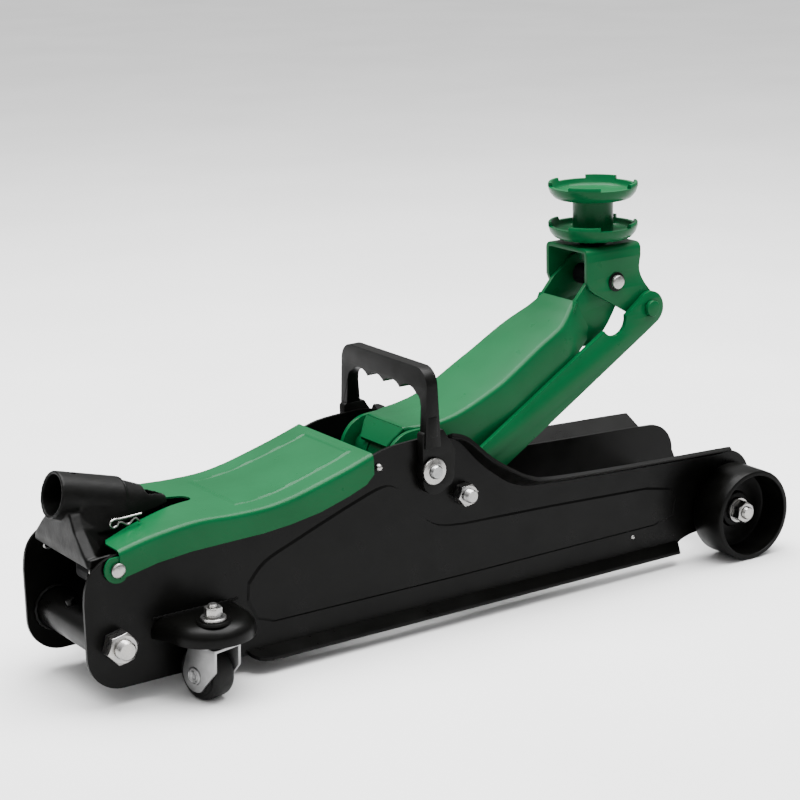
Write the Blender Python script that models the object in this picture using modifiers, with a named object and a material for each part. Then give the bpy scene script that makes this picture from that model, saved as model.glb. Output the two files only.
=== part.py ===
"""Low-profile hydraulic floor jack with a raised lift arm. Metres, +Z up, +X towards the saddle.

Every x below is measured forward from the rear edge of the side plates, and placed() moves it so that
the origin ends up at the centre of the jack's base. Right is the -Y side.
"""

import math

import bmesh
import bpy
from mathutils import Matrix, Vector

# Frame
X_MID = 0.3517          # rear edge of the side plates to the middle of the jack
GAP = 0.0003            # between pieces that touch
PLATE_OUT = 0.0567      # outer face of a side plate
PLATE_IN = 0.0537
FLANGE_OUT = 0.0210
FLANGE_UP = 0.0093
LIP_OUT = 0.0150

# Lift linkage, as (x, z)
ARM_PIVOT = (0.3257, 0.1415)
ARM_LENGTH = 0.26056
ARM_ANGLE = math.radians(29.04)
LINK_STEP = (0.0360, -0.0285)       # arm pivot to rod anchor, and saddle pin to rod pin
CRANK_LENGTH = 0.048
CRANK_ANGLE = math.radians(-75.75)
ROD_AT_ANCHOR = 0.0482               # y of the middle of a rod
ROD_AT_PIN = 0.0335
ROD_T = 0.0045
ROD_HALF = 0.0158
BRACKET_TOP = 0.3010
BRACKET_OUT = 0.0300
BRACKET_IN = 0.0260
CHEEK_OUT = 0.0255

# Saddle
SADDLE_X = 0.5509
DISH_R = 0.0405
DISH_RIM = 0.3201
EXTENSION_RISE = 0.0358

# Wheels and casters
AXLE = (0.6629, 0.0426)
WHEEL_FACE = 0.0980
WHEEL_WIDTH = 0.0387
REAR_ROD = (0.0249, 0.0526)
DOME_CENTRE = (0.1000, 0.0760)
DOME_R = 0.0360
SWIVEL = (0.0940, 0.0910)
TRAIL = 0.0100
TRAIL_ANGLE = math.radians(102.4)
CASTER_R = 0.0220

# Hydraulics
RAM_Z = 0.0980
BLOCK_REAR = 0.0880
BLOCK_FRONT = 0.1500
HINGE = (0.0280, 0.1150)            # socket pivot and rear pins of the cover
SOCKET_MOUTH = (0.0030, 0.1670)
SOCKET_ANGLE = math.radians(15.3)
SOCKET_R = 0.0195
ROLLER = (0.0330, 0.0960)
SPINDLE_Z = 0.0740

# Cover: outer top profile from the rear ears to the front edge
COVER_OUT = 0.0596
COVER_SHEET = 0.0015
COVER_TOP = [(0.0170, 0.1200), (0.0300, 0.1290), (0.0600, 0.1355), (0.1000, 0.1400), (0.1350, 0.1388),
             (0.1650, 0.1390), (0.1900, 0.1425), (0.2200, 0.1500), (0.2450, 0.1570), (0.2689, 0.1646)]

SIDES = (("right", -1), ("left", 1))


# Scene and helpers

def fresh_collection(name):
    old = bpy.data.collections.get(name)
    if old:
        bpy.data.collections.remove(old)
    made = bpy.data.collections.new(name)
    bpy.context.scene.collection.children.link(made)
    return made


for old_object in list(bpy.data.objects):
    bpy.data.objects.remove(old_object, do_unlink=True)
PARTS = fresh_collection("floor_jack")
CUTTERS = fresh_collection("floor_jack_cutters")


def material(name, colour, roughness, metallic):
    made = bpy.data.materials.new(name)
    made.use_nodes = True
    shader = made.node_tree.nodes["Principled BSDF"]
    shader.inputs["Base Color"].default_value = (*colour, 1.0)
    shader.inputs["Roughness"].default_value = roughness
    shader.inputs["Metallic"].default_value = metallic
    made.diffuse_color = (*colour, 1.0)
    return made


FINISHES = {
    "green": ((0.020, 0.230, 0.090), 0.38, 0.0),
    "black": ((0.012, 0.012, 0.011), 0.38, 0.0),
    "plastic": ((0.016, 0.016, 0.016), 0.48, 0.0),
    "rubber": ((0.012, 0.012, 0.012), 0.70, 0.0),
    "zinc": ((0.560, 0.570, 0.580), 0.32, 1.0),
    "steel": ((0.300, 0.300, 0.310), 0.35, 1.0),
    "iron": ((0.050, 0.050, 0.055), 0.55, 0.4),
}


def placed(obj):
    """Bakes an object's modifiers and placing into its mesh, with x measured from the base's centre."""
    bpy.context.view_layer.update()
    evaluated = obj.evaluated_get(bpy.context.evaluated_depsgraph_get())
    mesh = bpy.data.meshes.new_from_object(evaluated)
    mesh.transform(Matrix.Translation((-X_MID, 0, 0)) @ obj.matrix_world)
    work = bmesh.new()
    work.from_mesh(mesh)
    bmesh.ops.remove_doubles(work, verts=work.verts, dist=0.00001)
    bmesh.ops.recalc_face_normals(work, faces=work.faces)
    work.to_mesh(mesh)
    work.free()
    name = obj.name
    bpy.data.objects.remove(obj, do_unlink=True)
    made = bpy.data.objects.new(name, mesh)
    PARTS.objects.link(made)
    return made


def raw(name, data):
    made = bpy.data.objects.new(name, data)
    PARTS.objects.link(made)
    return made


def part(obj, finish):
    """Names a finished object's material and shades its round faces smooth."""
    obj.data.materials.clear()
    obj.data.materials.append(material(obj.name, *FINISHES[finish]))
    obj.data.shade_smooth()
    obj.data.set_sharp_from_angle(angle=math.radians(35))
    return obj


def boolean(obj, operation, *tools):
    """Joins tools to an object, or cuts them from it."""
    for tool in tools:
        for collection in tool.users_collection:
            collection.objects.unlink(tool)
        CUTTERS.objects.link(tool)
        tool.hide_render = True
        tool.display_type = "WIRE"
        step = obj.modifiers.new(tool.name, "BOOLEAN")
        step.operation = operation
        step.object = tool
        step.solver = "EXACT"
    return obj


def join(obj, *tools):
    return boolean(obj, "UNION", *tools)


def cut(obj, *tools):
    return boolean(obj, "DIFFERENCE", *tools)


def arc(centre, radius, start, end, steps):
    """Points on an arc, in degrees from +X."""
    points = []
    for i in range(steps + 1):
        angle = math.radians(start + (end - start) * i / steps)
        points.append((centre[0] + radius * math.cos(angle), centre[1] + radius * math.sin(angle)))
    return points


def circle(centre, radius, steps=14):
    return arc(centre, radius, 0, 360 - 360 / steps, steps - 1)


def smooth(points, per_span=3):
    """A Catmull-Rom curve through the points."""
    made = []
    ends = [points[0]] + list(points) + [points[-1]]
    for i in range(1, len(ends) - 2):
        before, here, there, after = (Vector(p) for p in ends[i - 1:i + 3])
        for k in range(per_span):
            t = k / per_span
            made.append(tuple(0.5 * (2 * here + (there - before) * t
                                     + (2 * before - 5 * here + 4 * there - after) * t * t
                                     + (3 * here - before - 3 * there + after) * t ** 3)))
    return made + [tuple(points[-1])]


def turned_about(point, centre, angle):
    """A point given along and across a line, as (x, z) after that line's turn about the centre."""
    along, across = point
    return (centre[0] + along * math.cos(angle) - across * math.sin(angle),
            centre[1] + along * math.sin(angle) + across * math.cos(angle))


def flat(name, loops, low, high):
    """A flat outline with holes, in X and Y, from z = low to z = high."""
    curve = bpy.data.curves.new(name, "CURVE")
    curve.dimensions = "2D"
    curve.fill_mode = "BOTH"
    curve.extrude = (high - low) / 2
    for loop in loops:
        spline = curve.splines.new("POLY")
        spline.points.add(len(loop) - 1)
        for slot, (x, y) in zip(spline.points, loop):
            slot.co = (x, y, 0, 1)
        spline.use_cyclic_u = True
    made = raw(name, curve)
    made.location.z = (low + high) / 2
    return made


def slab(name, loops, near, far):
    """A flat outline with holes, in X and Z, from y = near to y = far."""
    made = flat(name, loops, near, far)
    made.location = (0, (near + far) / 2, 0)
    made.rotation_euler.x = math.pi / 2
    return placed(made)


def sheet(name, loops, low, high):
    return placed(flat(name, loops, low, high))


def turning(profile, closed, steps):
    """A profile of (radius, height) points, run down its outer side and turned about Z."""
    mesh = bpy.data.meshes.new("profile")
    count = len(profile)
    edges = [(i, i + 1) for i in range(count - 1)]
    if closed:
        edges.append((count - 1, 0))
    mesh.from_pydata([(r, 0, h) for r, h in profile], edges, [])
    return mesh


def turned(name, profile, centre, axis="Z", closed=False, steps=18):
    """A turned shape whose own height runs along an axis of the jack."""
    made = raw(name, turning(profile, closed, steps))
    screw = made.modifiers.new("turn", "SCREW")
    screw.steps = steps
    screw.render_steps = steps
    screw.use_merge_vertices = True
    screw.merge_threshold = 0.00001
    made.rotation_euler = {"Z": (0, 0, 0), "Y": (-math.pi / 2, 0, 0), "-Y": (math.pi / 2, 0, 0),
                           "X": (0, math.pi / 2, 0), "-X": (0, -math.pi / 2, 0)}[axis]
    made.location = centre
    return placed(made)


def rod(name, radius, start, end, steps=14, chamfer=0.0):
    """A round bar from one point to another."""
    line = Vector(end) - Vector(start)
    length = line.length
    profile = [(0, length), (radius - chamfer, length), (radius, length - chamfer),
               (radius, chamfer), (radius - chamfer, 0), (0, 0)]
    if not chamfer:
        profile = [(0, length), (radius, length), (radius, 0), (0, 0)]
    made = raw(name, turning(profile, False, steps))
    screw = made.modifiers.new("turn", "SCREW")
    screw.steps = steps
    screw.render_steps = steps
    screw.use_merge_vertices = True
    screw.merge_threshold = 0.00001
    made.rotation_mode = "QUATERNION"
    made.rotation_quaternion = Vector((0, 0, 1)).rotation_difference(line)
    made.location = start
    return placed(made)


def ring(name, inner, outer, start, length, axis, steps=18, chamfer=0.0):
    """A collar or washer of a given length along an axis."""
    profile = [(inner, length), (outer - chamfer, length), (outer, length - chamfer), (outer, 0), (inner, 0)]
    if not chamfer:
        profile = [(inner, length), (outer, length), (outer, 0), (inner, 0)]
    return turned(name, profile, start, axis, True, steps)


def box(name, low, high, bevel=0.0):
    bpy.ops.mesh.primitive_cube_add(size=1)
    made = bpy.context.active_object
    made.name = name
    for collection in made.users_collection:
        collection.objects.unlink(made)
    PARTS.objects.link(made)
    size = Vector(high) - Vector(low)
    made.data.transform(Matrix.Diagonal((*size, 1)))
    made.location = (Vector(low) + Vector(high)) / 2
    if bevel:
        edge = made.modifiers.new("edges", "BEVEL")
        edge.width = bevel
        edge.segments = 1
    return placed(made)


def loft(name, sections):
    """A solid through closed sections that have the same number of points."""
    work = bmesh.new()
    rings = [[work.verts.new(point) for point in section] for section in sections]
    count = len(rings[0])
    for lower, upper in zip(rings, rings[1:]):
        for i in range(count):
            work.faces.new((lower[i], lower[(i + 1) % count], upper[(i + 1) % count], upper[i]))
    work.faces.new(rings[0])
    work.faces.new(rings[-1])
    bmesh.ops.recalc_face_normals(work, faces=work.faces)
    mesh = bpy.data.meshes.new(name)
    work.to_mesh(mesh)
    work.free()
    return placed(raw(name, mesh))


def wire(name, points, radius, roundness=1):
    """A round wire through the points."""
    curve = bpy.data.curves.new(name, "CURVE")
    curve.dimensions = "3D"
    curve.bevel_depth = radius
    curve.bevel_resolution = roundness
    curve.use_fill_caps = True
    spline = curve.splines.new("POLY")
    spline.points.add(len(points) - 1)
    for slot, point in zip(spline.points, points):
        slot.co = (*point, 1)
    return placed(raw(name, curve))


def hexagon(centre, across_flats, turn=0):
    return [turned_about((across_flats / math.sqrt(3), 0), centre,
                         math.radians(60 * i + turn)) for i in range(6)]


def hex_nut(name, centre, across_flats, bore, near, far, turn=0):
    """A hexagon nut between two y positions, tapered at its outer end."""
    outer, inner = (near, far) if abs(near) > abs(far) else (far, near)
    step = 0.0016 if outer < inner else -0.0016
    sections = []
    for y, scale in ((inner, 1.0), (outer + step, 1.0), (outer, 0.90)):
        sections.append([(x, y, z) for x, z in hexagon(centre, across_flats * scale, turn)])
    made = loft(name, sections)
    return cut(made, rod(name + "_bore", bore, (centre[0], near - 0.01, centre[1]), (centre[0], far + 0.01,
        centre[1])))


def span(side, inner, outer):
    """The y range of a piece on one side, lowest first."""
    return sorted((side * inner, side * outer))


def point_at(centre, y):
    return (centre[0], y, centre[1])


def on_arm(along, across):
    return turned_about((along, across), ARM_PIVOT, ARM_ANGLE)


ROD_ANCHOR = (ARM_PIVOT[0] + LINK_STEP[0], ARM_PIVOT[1] + LINK_STEP[1])
SADDLE_PIN = on_arm(ARM_LENGTH, 0)
ROD_PIN = (SADDLE_PIN[0] + LINK_STEP[0], SADDLE_PIN[1] + LINK_STEP[1])
CRANK_PIN = (ARM_PIVOT[0] + CRANK_LENGTH * math.cos(CRANK_ANGLE),
             ARM_PIVOT[1] + CRANK_LENGTH * math.sin(CRANK_ANGLE))
FLANGE_EDGE = smooth([(0.3480, 0.1665), (0.3610, 0.1600), (0.3810, 0.1390), (0.3980, 0.1250),
                      (0.4180, 0.1125),
                      (0.4450, 0.1068), (0.5320, 0.1015), (0.6330, 0.0972), (0.6520, 0.0962)], 2)


# Side plates

def plate_outline():
    rear = arc((0.0300, 0.0460), 0.0310, 270, 180, 6)
    shoulder = smooth([(-0.0010, 0.0900), (0.0010, 0.1040), (0.0070, 0.1155), (0.0180, 0.1235),
                       (0.0300, 0.1268)], 2)
    under_cover = [(x, z - 0.0022) for x, z in COVER_TOP[2:-1]]
    crest = smooth([(0.2689, 0.1622), (0.2870, 0.1670), (0.3160, 0.1690), (0.3350, 0.1690),
                    (0.3480, 0.1665)], 2)
    nose = arc((0.6640, 0.0665), 0.0290, 90, 0, 5) + arc((0.6680, 0.0485), 0.0250, 0, -90, 4)
    arch = smooth([(0.6430, 0.0235), (0.6230, 0.0225), (0.6110, 0.0195), (0.6060, 0.0165)], 2)
    return rear + shoulder + under_cover + crest + FLANGE_EDGE[1:] + nose + arch


def top_flange(name, side):
    """The outward and upward flange that follows the plate's front top edge."""
    sections = []
    last = len(FLANGE_EDGE) - 1
    for i, (x, z) in enumerate(FLANGE_EDGE):
        ahead = Vector(FLANGE_EDGE[min(i + 1, last)]) - Vector(FLANGE_EDGE[max(i - 1, 0)])
        up = Vector((-ahead[1], ahead[0])).normalized()
        reach = min(1.0, 0.35 + 0.65 * i / 8)
        root = 0.0545
        wide = (PLATE_OUT + FLANGE_OUT - root) * reach
        rise = (FLANGE_UP + 0.0010) * reach
        section = []
        for out, lift in ((0, -0.0003), (wide, rise), (wide, rise - 0.0031), (0, -0.0031)):
            section.append((x + up[0] * lift, side * (root + out), z + up[1] * lift))
        sections.append(section)
    return loft(name, sections)


def bottom_lip(name, side):
    sections = []
    for x, wide in ((0.1430, 0.15), (0.1455, 0.55), (0.1510, 0.88), (0.1590, 1.0), (0.6000, 1.0),
                    (0.6045, 0.85)):
        end = 0.0545 + (PLATE_OUT + LIP_OUT - 0.0545) * wide
        drop = 0.0053 * wide
        sections.append([(x, side * 0.0545, 0.0198), (x, side * end, 0.0198 - drop),
                         (x, side * end, 0.0168 - drop), (x, side * 0.0545, 0.0163)])
    return loft(name, sections)


def side_plates():
    for word, side in SIDES:
        near, far = span(side, PLATE_IN, PLATE_OUT)
        holes = [circle(REAR_ROD, 0.0085), circle(HINGE, 0.0052, 16), circle(ARM_PIVOT, 0.0100),
                 circle(ROD_ANCHOR, 0.0065), circle(AXLE, 0.0085), circle((0.2760, 0.1520), 0.0024, 10)]
        plate = slab("side_plate_" + word, [plate_outline()] + holes, near, far)
        join(plate, top_flange("flange_" + word, side), bottom_lip("lip_" + word, side))
        part(plate, "black")


def rear_crossing():
    tube = ring("rear_cross_tube", 0.0135, 0.0170, (REAR_ROD[0], -PLATE_IN + GAP, REAR_ROD[1]),
                2 * (PLATE_IN - GAP), "Y", 28)
    foot = Vector((REAR_ROD[0] - 0.0052, 0.0100, REAR_ROD[1] + 0.0148))
    stud = rod("tube_stud", 0.0040, foot, foot + Vector((-0.0021, 0, 0.0060)), 12)
    part(join(tube, stud), "black")
    part(rod("rear_axle_rod", 0.0080, point_at(REAR_ROD, -0.0765), point_at(REAR_ROD, 0.0765), 20, 0.0015),
         "zinc")
    for word, side in SIDES:
        near, far = span(side, PLATE_OUT + GAP, 0.0700)
        part(hex_nut("rear_nut_" + word, REAR_ROD, 0.0240, 0.0084, near, far, 12), "zinc")


# Front wheels

def front_wheels():
    shaft = 0.0080
    stud = 0.0060
    inner = WHEEL_FACE - 0.0235
    profile = [(0, 0.0910), (stud - 0.001, 0.0910), (stud, 0.0900), (stud, inner + GAP),
               (shaft, inner + GAP),
               (shaft, -inner - GAP), (stud, -inner - GAP), (stud, -0.0900), (stud - 0.001, -0.0910),
               (0, -0.0910)]
    part(turned("front_axle", profile, point_at(AXLE, 0), "Y", False, 16), "zinc")
    cup = [(0.0375, 0.0), (0.0410, 0.0), (0.0426, -0.0016), (0.0426, -0.0362), (0.0401, -WHEEL_WIDTH),
           (0.0084, -WHEEL_WIDTH), (0.0084, -0.0235), (0.0165, -0.0235), (0.0170, -0.0265),
           (0.0345, -0.0275),
           (0.0362, -0.0255), (0.0370, -0.0010)]
    for word, side in SIDES:
        axis = "Y" if side > 0 else "-Y"
        part(turned("front_wheel_" + word, cup, point_at(AXLE, side * WHEEL_FACE), axis, True, 30),
             "plastic")
        seat = side * (inner + 2 * GAP)
        part(ring("front_washer_" + word, 0.0064, 0.0120, point_at(AXLE, seat), 0.0025, axis), "zinc")
        near, far = span(side, inner + 0.0034, inner + 0.0134)
        part(hex_nut("front_nut_" + word, AXLE, 0.0180, 0.0063, near, far, 25), "zinc")


# Casters

def dome_loop(radius, z, side, back):
    """The D-shaped outline of a caster bracket, straight where it meets the side plate."""
    loop = [(DOME_CENTRE[0] + radius + 0.0010, side * back, z)]
    for x, y in arc(DOME_CENTRE, radius, 0, 180, 12):
        loop.append((x, side * y, z))
    loop.append((DOME_CENTRE[0] - radius - 0.0010, side * back, z))
    return loop


def to_swivel(obj, side):
    """Turns a piece made about the swivel axis at the frame's x = 0 to its place on one side."""
    turn = Matrix.Rotation(side * -TRAIL_ANGLE, 4, "Z")
    place = Matrix.Translation((SWIVEL[0] - X_MID, side * SWIVEL[1], 0))
    obj.data.transform(place @ turn @ Matrix.Translation((X_MID, 0, 0)))
    return obj


def casters():
    for word, side in SIDES:
        sx, sy = SWIVEL[0], side * SWIVEL[1]
        shell = loft("caster_bracket_" + word, [dome_loop(r, z, side, PLATE_OUT + GAP) for r, z in (
            (DOME_R, 0.0505), (DOME_R, 0.0610), (DOME_R - 0.0022, 0.0650), (DOME_R - 0.0070, 0.0670))])
        boss = rod("dome_boss_" + word, 0.0140, (sx, sy, 0.0660), (sx, sy, 0.0685), 16)
        inside = loft("dome_inside_" + word, [dome_loop(r, z, side, PLATE_OUT - 0.0030) for r, z in (
            (DOME_R - 0.0030, 0.0480), (DOME_R - 0.0030, 0.0615), (DOME_R - 0.0080, 0.0640))])
        hole = rod("dome_hole_" + word, 0.0046, (sx, sy, 0.0600), (sx, sy, 0.0700), 12)
        join(shell, boss)
        part(cut(shell, inside, hole), "black")
        bolt = turned("caster_bolt_" + word, [
            (0, 0.0815), (0.0034, 0.0815), (0.0040, 0.0805), (0.0040, 0.0730), (0.0065, 0.0730),
                                              (0.0065, 0.0712),
            (0.0105, 0.0712), (0.0105, 0.0688), (0.0041, 0.0688), (0.0041, 0.0637), (0.0110, 0.0637),
            (0.0110, 0.0606), (0.0050, 0.0606), (0.0050, 0.0462), (0, 0.0462)], (sx, sy, 0), steps=14)
        nut = sheet("caster_nut_" + word, [hexagon((sx, sy), 0.0130, 20)], 0.0725, 0.0790)
        part(join(bolt, nut), "zinc")
        caster_fork(word, side)


def caster_fork(word, side):
    """A fork with its riveted axle, made with its trail along +X and then turned."""
    axle = (TRAIL, CASTER_R)
    top = 0.0490
    plate = sheet("caster_fork_" + word, [[(-0.0160, -0.0140), (0.0160, -0.0140), (0.0160, 0.0140),
                                           (-0.0160, 0.0140)],
                                          circle((0, 0), 0.0056, 16)], top - 0.0025, top)
    cup = ring("fork_cup_" + word, 0.0056, 0.0150, (0, 0, top - 0.0010), 0.0112, "Z", 16, 0.0030)
    leg = [(-0.0155, top - 0.0008), (0.0150, top - 0.0008)] + arc(axle, 0.0140, 20, -120,
                                                                  6) + [(-0.0145, 0.0300)]
    legs = [slab("fork_leg_%s_%d" % (word, n), [leg], *sorted((n * 0.0115, n * 0.0140))) for n in (-1, 1)]
    rivet = rod("fork_rivet_" + word, 0.0040, (axle[0], -0.0160, axle[1]), (axle[0], 0.0160, axle[1]), 12)
    heads = [rod("rivet_head_%s_%d" % (word, n), 0.0075, (axle[0], n * 0.0137, axle[1]),
                 (axle[0], n * 0.0156, axle[1]), 14) for n in (-1, 1)]
    pieces = [to_swivel(piece, side) for piece in [cup] + legs + [rivet] + heads]
    part(join(to_swivel(plate, side), *pieces), "zinc")
    tread = [(0.0180, 0.0105), (0.0205, 0.0100), (CASTER_R, 0.0070), (CASTER_R, -0.0070), (0.0205, -0.0100),
             (0.0180, -0.0105), (0.0044, -0.0105), (0.0044, 0.0105)]
    wheel = turned("caster_wheel_" + word, tread, (axle[0], 0, axle[1]), "Y", True, 24)
    part(to_swivel(wheel, side), "rubber")


# Cover

def cover_skirt(name, side):
    top = [(x, z - 0.0001) for x, z in COVER_TOP[1:]]
    lower = [(0.2660, 0.1462), (0.2610, 0.1405), (0.2440, 0.1340), (0.2150, 0.1255), (0.1870, 0.1210),
             (0.1600, 0.1185), (0.1330, 0.1180), (0.0940, 0.1170), (0.0630, 0.1140), (0.0360, 0.1085)]
    ear = arc((HINGE[0] + 0.0003, HINGE[1] + 0.0005), 0.0115, 285, 125, 8)
    near, far = span(side, COVER_OUT - COVER_SHEET, COVER_OUT)
    return slab(name, [top + lower + ear, circle(HINGE, 0.0052, 16)], near, far)


def cover():
    sections = []
    for x, z in COVER_TOP[1:]:
        sections.append([(x, -COVER_OUT, z), (x, COVER_OUT, z), (x, COVER_OUT, z - COVER_SHEET),
                         (x, -COVER_OUT, z - COVER_SHEET)])
    web = loft("cover", sections)
    half = [(0.1180, 0.0082), (0.0330, 0.0312), (0.0195, 0.0575), (-0.0200, 0.0575)]
    notch_plan = arc((0.1180, 0), 0.0080, -80, 80, 6) + half + [(x, -y) for x, y in reversed(half)]
    cut(web, sheet("cover_notch", [notch_plan], 0.1000, 0.2000))
    part(join(web, cover_skirt("skirt_right", -1), cover_skirt("skirt_left", 1)), "green")
    for word, side in SIDES:
        screw = [(0, 0.0036), (0.0018, 0.0033), (0.0032, 0.0020), (0.0035, 0.0), (0.0019, 0.0),
                 (0.0019, -0.0070),
                 (0, -0.0070)]
        seat = (0.2760, side * (PLATE_OUT + GAP), 0.1520)
        part(turned("cover_screw_" + word, screw, seat, "Y" if side > 0 else "-Y", steps=14), "zinc")


# Carry handle

def carry_handle():
    """A moulded bail over the jack, made as one outline across it and extended down by two feet."""
    grip = []
    for i in range(4):
        middle = 0.0375 - 0.0250 * i
        grip += arc((middle, 0.1960), 0.0178, 45, 135, 4)
    grip = [(y, z - 0.0010) for y, z in grip]
    left = [(0.0665, 0.1640)] + arc((0.0505, 0.2150), 0.0160, 0, 90, 5)
    right = arc((-0.0505, 0.2150), 0.0160, 90, 180, 5) + [(-0.0665, 0.1640)]
    inner_right = [(-0.0575, 0.1640)] + [(-0.0570, 0.1980), (-0.0545, 0.2050)]
    inner_left = [(0.0545, 0.2050), (0.0570, 0.1980), (0.0575, 0.1640)]
    outline = left + right + inner_right + list(reversed(grip)) + inner_left
    bail = flat("carry_handle", [outline], -0.0055, 0.0055)
    bail.rotation_euler = (math.pi / 2, 0, math.pi / 2)
    bail.location = (0.3255, 0, 0)
    bail = placed(bail)
    for word, side in SIDES:
        near, far = span(side, PLATE_OUT + GAP, 0.0652)
        foot = [(0.3155, 0.1760), (0.3155, 0.1330)] + arc((0.3285, 0.1330), 0.0130, 180, 290, 4)
        foot += [(0.3470, 0.1300), (0.3490, 0.1560), (0.3370, 0.1760)]
        join(bail, slab("handle_foot_" + word, [foot], near, far))
    part(cut(bail, rod("handle_bore", 0.0100, point_at(ARM_PIVOT, -0.1), point_at(ARM_PIVOT, 0.1), 20)),
         "plastic")


# Lift arm, rods, bracket

def arm_web(name):
    """The arm's waisted channel: a top web with two side walls, along the arm."""
    stations = [(0.0100, 0.0291, 0.0295), (0.0200, 0.0250, 0.0340), (0.0300, 0.0204, 0.0370),
                (0.0400, 0.0160, 0.0380),
                (0.0600, 0.0097, 0.0383), (0.0750, 0.0072, 0.0388), (0.1050, 0.0053, 0.0410),
                (0.1350, 0.0054, 0.0394), (0.1650, 0.0061, 0.0378), (0.1800, 0.0057, 0.0370),
                (0.1900, 0.0056, 0.0350), (0.2000, 0.0065, 0.0310), (0.2100, 0.0085, 0.0270),
                (0.2170, 0.0094, 0.0253)]
    sheet_t = 0.0035
    sections = []
    for along, top, half in stations:
        foot = -0.0325
        if along < 0.045:
            foot = -0.0080 - 0.6333 * (along - 0.010)
        if along > 0.185:
            foot = -0.0325 + 0.35 * min(0.010, along - 0.185)
        lean = 0.0020 * min(1.0, max(0.0, (-foot - 0.0225) / 0.0100))
        outside = [(half - lean, foot), (half, foot + 0.0100), (half, top)]
        inside = [(half - sheet_t - lean, foot), (half - sheet_t, foot + 0.0100),
                  (half - sheet_t, top - sheet_t)]
        round_it = outside + [(-y, h) for y, h in reversed(outside)]
        round_it += [(-y, h) for y, h in inside] + list(reversed(inside))
        section = []
        for y, across in round_it:
            x, z = on_arm(along, across)
            section.append((x, y, z))
        sections.append(section)
    return loft(name, sections)


def arm_outline(points):
    return [on_arm(along, across) for along, across in points]


def lift_arm():
    web = arm_web("lift_arm")
    nose = arc((ARM_LENGTH, 0), 0.0195, -105, 118, 10)
    front_cheek = [(0.2010, -0.0300), (0.2120, -0.0355), (0.2240, -0.0355), (0.2380, -0.0300),
                   (0.2480, -0.0245)]
    front_cheek += nose + [(0.2350, 0.0160), (0.2130, 0.0082), (0.2020, 0.0012)]
    rear_cheek = arc((0, 0), 0.0290, 62, 300, 10) + [(0.0450, -0.0245), (0.0450, 0.0100)]
    turn = math.degrees(CRANK_ANGLE)
    crank_plate = arc(ARM_PIVOT, 0.0175, turn + 90, turn + 270, 6) + arc(CRANK_PIN, 0.0110, turn - 90,
        turn + 90, 4)
    tail = []
    for along, top, half in ((0.0120, 0.0285, 0.0294), (-0.0084, 0.0212, 0.0210)):
        section = []
        for y, across in ((half, top), (-half, top), (-half, top - 0.0035), (half, top - 0.0035)):
            x, z = on_arm(along, across)
            section.append((x, y, z))
        tail.append(section)
    tools = [loft("arm_tail", tail)]
    for word, side in SIDES:
        tools.append(slab("front_cheek_" + word, [arm_outline(front_cheek)], *span(side, 0.0215, CHEEK_OUT)))
        tools.append(slab("rear_cheek_" + word, [arm_outline(rear_cheek)], *span(side, 0.0328, 0.0371)))
        tools.append(slab("crank_plate_" + word, [crank_plate], *span(side, 0.0125, 0.0175)))
    tools.append(rod("arm_boss", 0.0160, point_at(ARM_PIVOT, -0.0345), point_at(ARM_PIVOT, 0.0345), 18))
    join(web, *tools)
    bores = [rod("pivot_bore", 0.0102, point_at(ARM_PIVOT, -0.06), point_at(ARM_PIVOT, 0.06), 16),
             rod("saddle_bore", 0.0070, point_at(SADDLE_PIN, -0.06), point_at(SADDLE_PIN, 0.06), 20),
             rod("crank_bore", 0.0064, point_at(CRANK_PIN, -0.03), point_at(CRANK_PIN, 0.03), 16)]
    part(cut(web, *bores), "green")
    part(rod("crank_pin", 0.0060, point_at(CRANK_PIN, -0.0200), point_at(CRANK_PIN, 0.0200), 16, 0.0008),
         "steel")
    profile = [(0, 0.0725), (0.0054, 0.0725), (0.0060, 0.0719), (0.0060, 0.0660), (0.0095, 0.0660)]
    profile += [(r, -y) for r, y in reversed(profile)]
    part(turned("arm_shaft", profile, point_at(ARM_PIVOT, 0), "Y"), "steel")
    for word, side in SIDES:
        axis = "Y" if side > 0 else "-Y"
        part(ring("arm_shaft_collar_" + word, 0.0064, 0.0116, point_at(ARM_PIVOT, side * 0.0664), 0.0026,
                  axis, 24,
                  0.0006), "zinc")


def splay(obj, side):
    """Leans a rod made at its anchor's width inwards, so that its far end is beside the saddle bracket."""
    slope = (ROD_AT_ANCHOR - ROD_AT_PIN) / ARM_LENGTH
    for vertex in obj.data.vertices:
        ahead = vertex.co.x - ROD_ANCHOR[0] + X_MID
        up = vertex.co.z - ROD_ANCHOR[1]
        along = ahead * math.cos(ARM_ANGLE) + up * math.sin(ARM_ANGLE)
        vertex.co.y -= side * slope * along
    return obj


def radius_rods():
    length = ARM_LENGTH
    notch = arc((length - 0.0411, 0.0176), 0.0145, 186, 340, 9)
    end = arc((length, 0), 0.0155, 110, -90, 9)
    body = notch + [(length - 0.0180, 0.0135)] + end + [(length - 0.0200, -0.0158)]
    body += arc((0, 0), ROD_HALF, 270, 90, 8)
    outline = [turned_about(p, ROD_ANCHOR, ARM_ANGLE) for p in body]
    for word, side in SIDES:
        holes = [circle(ROD_ANCHOR, 0.0067), circle(ROD_PIN, 0.0069)]
        middle = ROD_AT_ANCHOR
        bar = slab("radius_rod_" + word, [outline] + holes, *span(side, middle - ROD_T / 2,
                                                                  middle + ROD_T / 2))
        part(splay(bar, side), "green")
        axis = "Y" if side > 0 else "-Y"
        bolt = [(0, 0.0725), (0.0052, 0.0725), (0.0060, 0.0715), (0.0060, 0.0447), (0.0100, 0.0447),
                (0.0100, 0.0425), (0.0090, 0.0415), (0, 0.0415)]
        part(turned("anchor_bolt_" + word, bolt, point_at(ROD_ANCHOR, 0), axis, steps=16), "zinc")
        near, far = span(side, PLATE_OUT + GAP, 0.0670)
        part(hex_nut("anchor_nut_" + word, ROD_ANCHOR, 0.0180, 0.0063, near, far, 8), "zinc")


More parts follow.
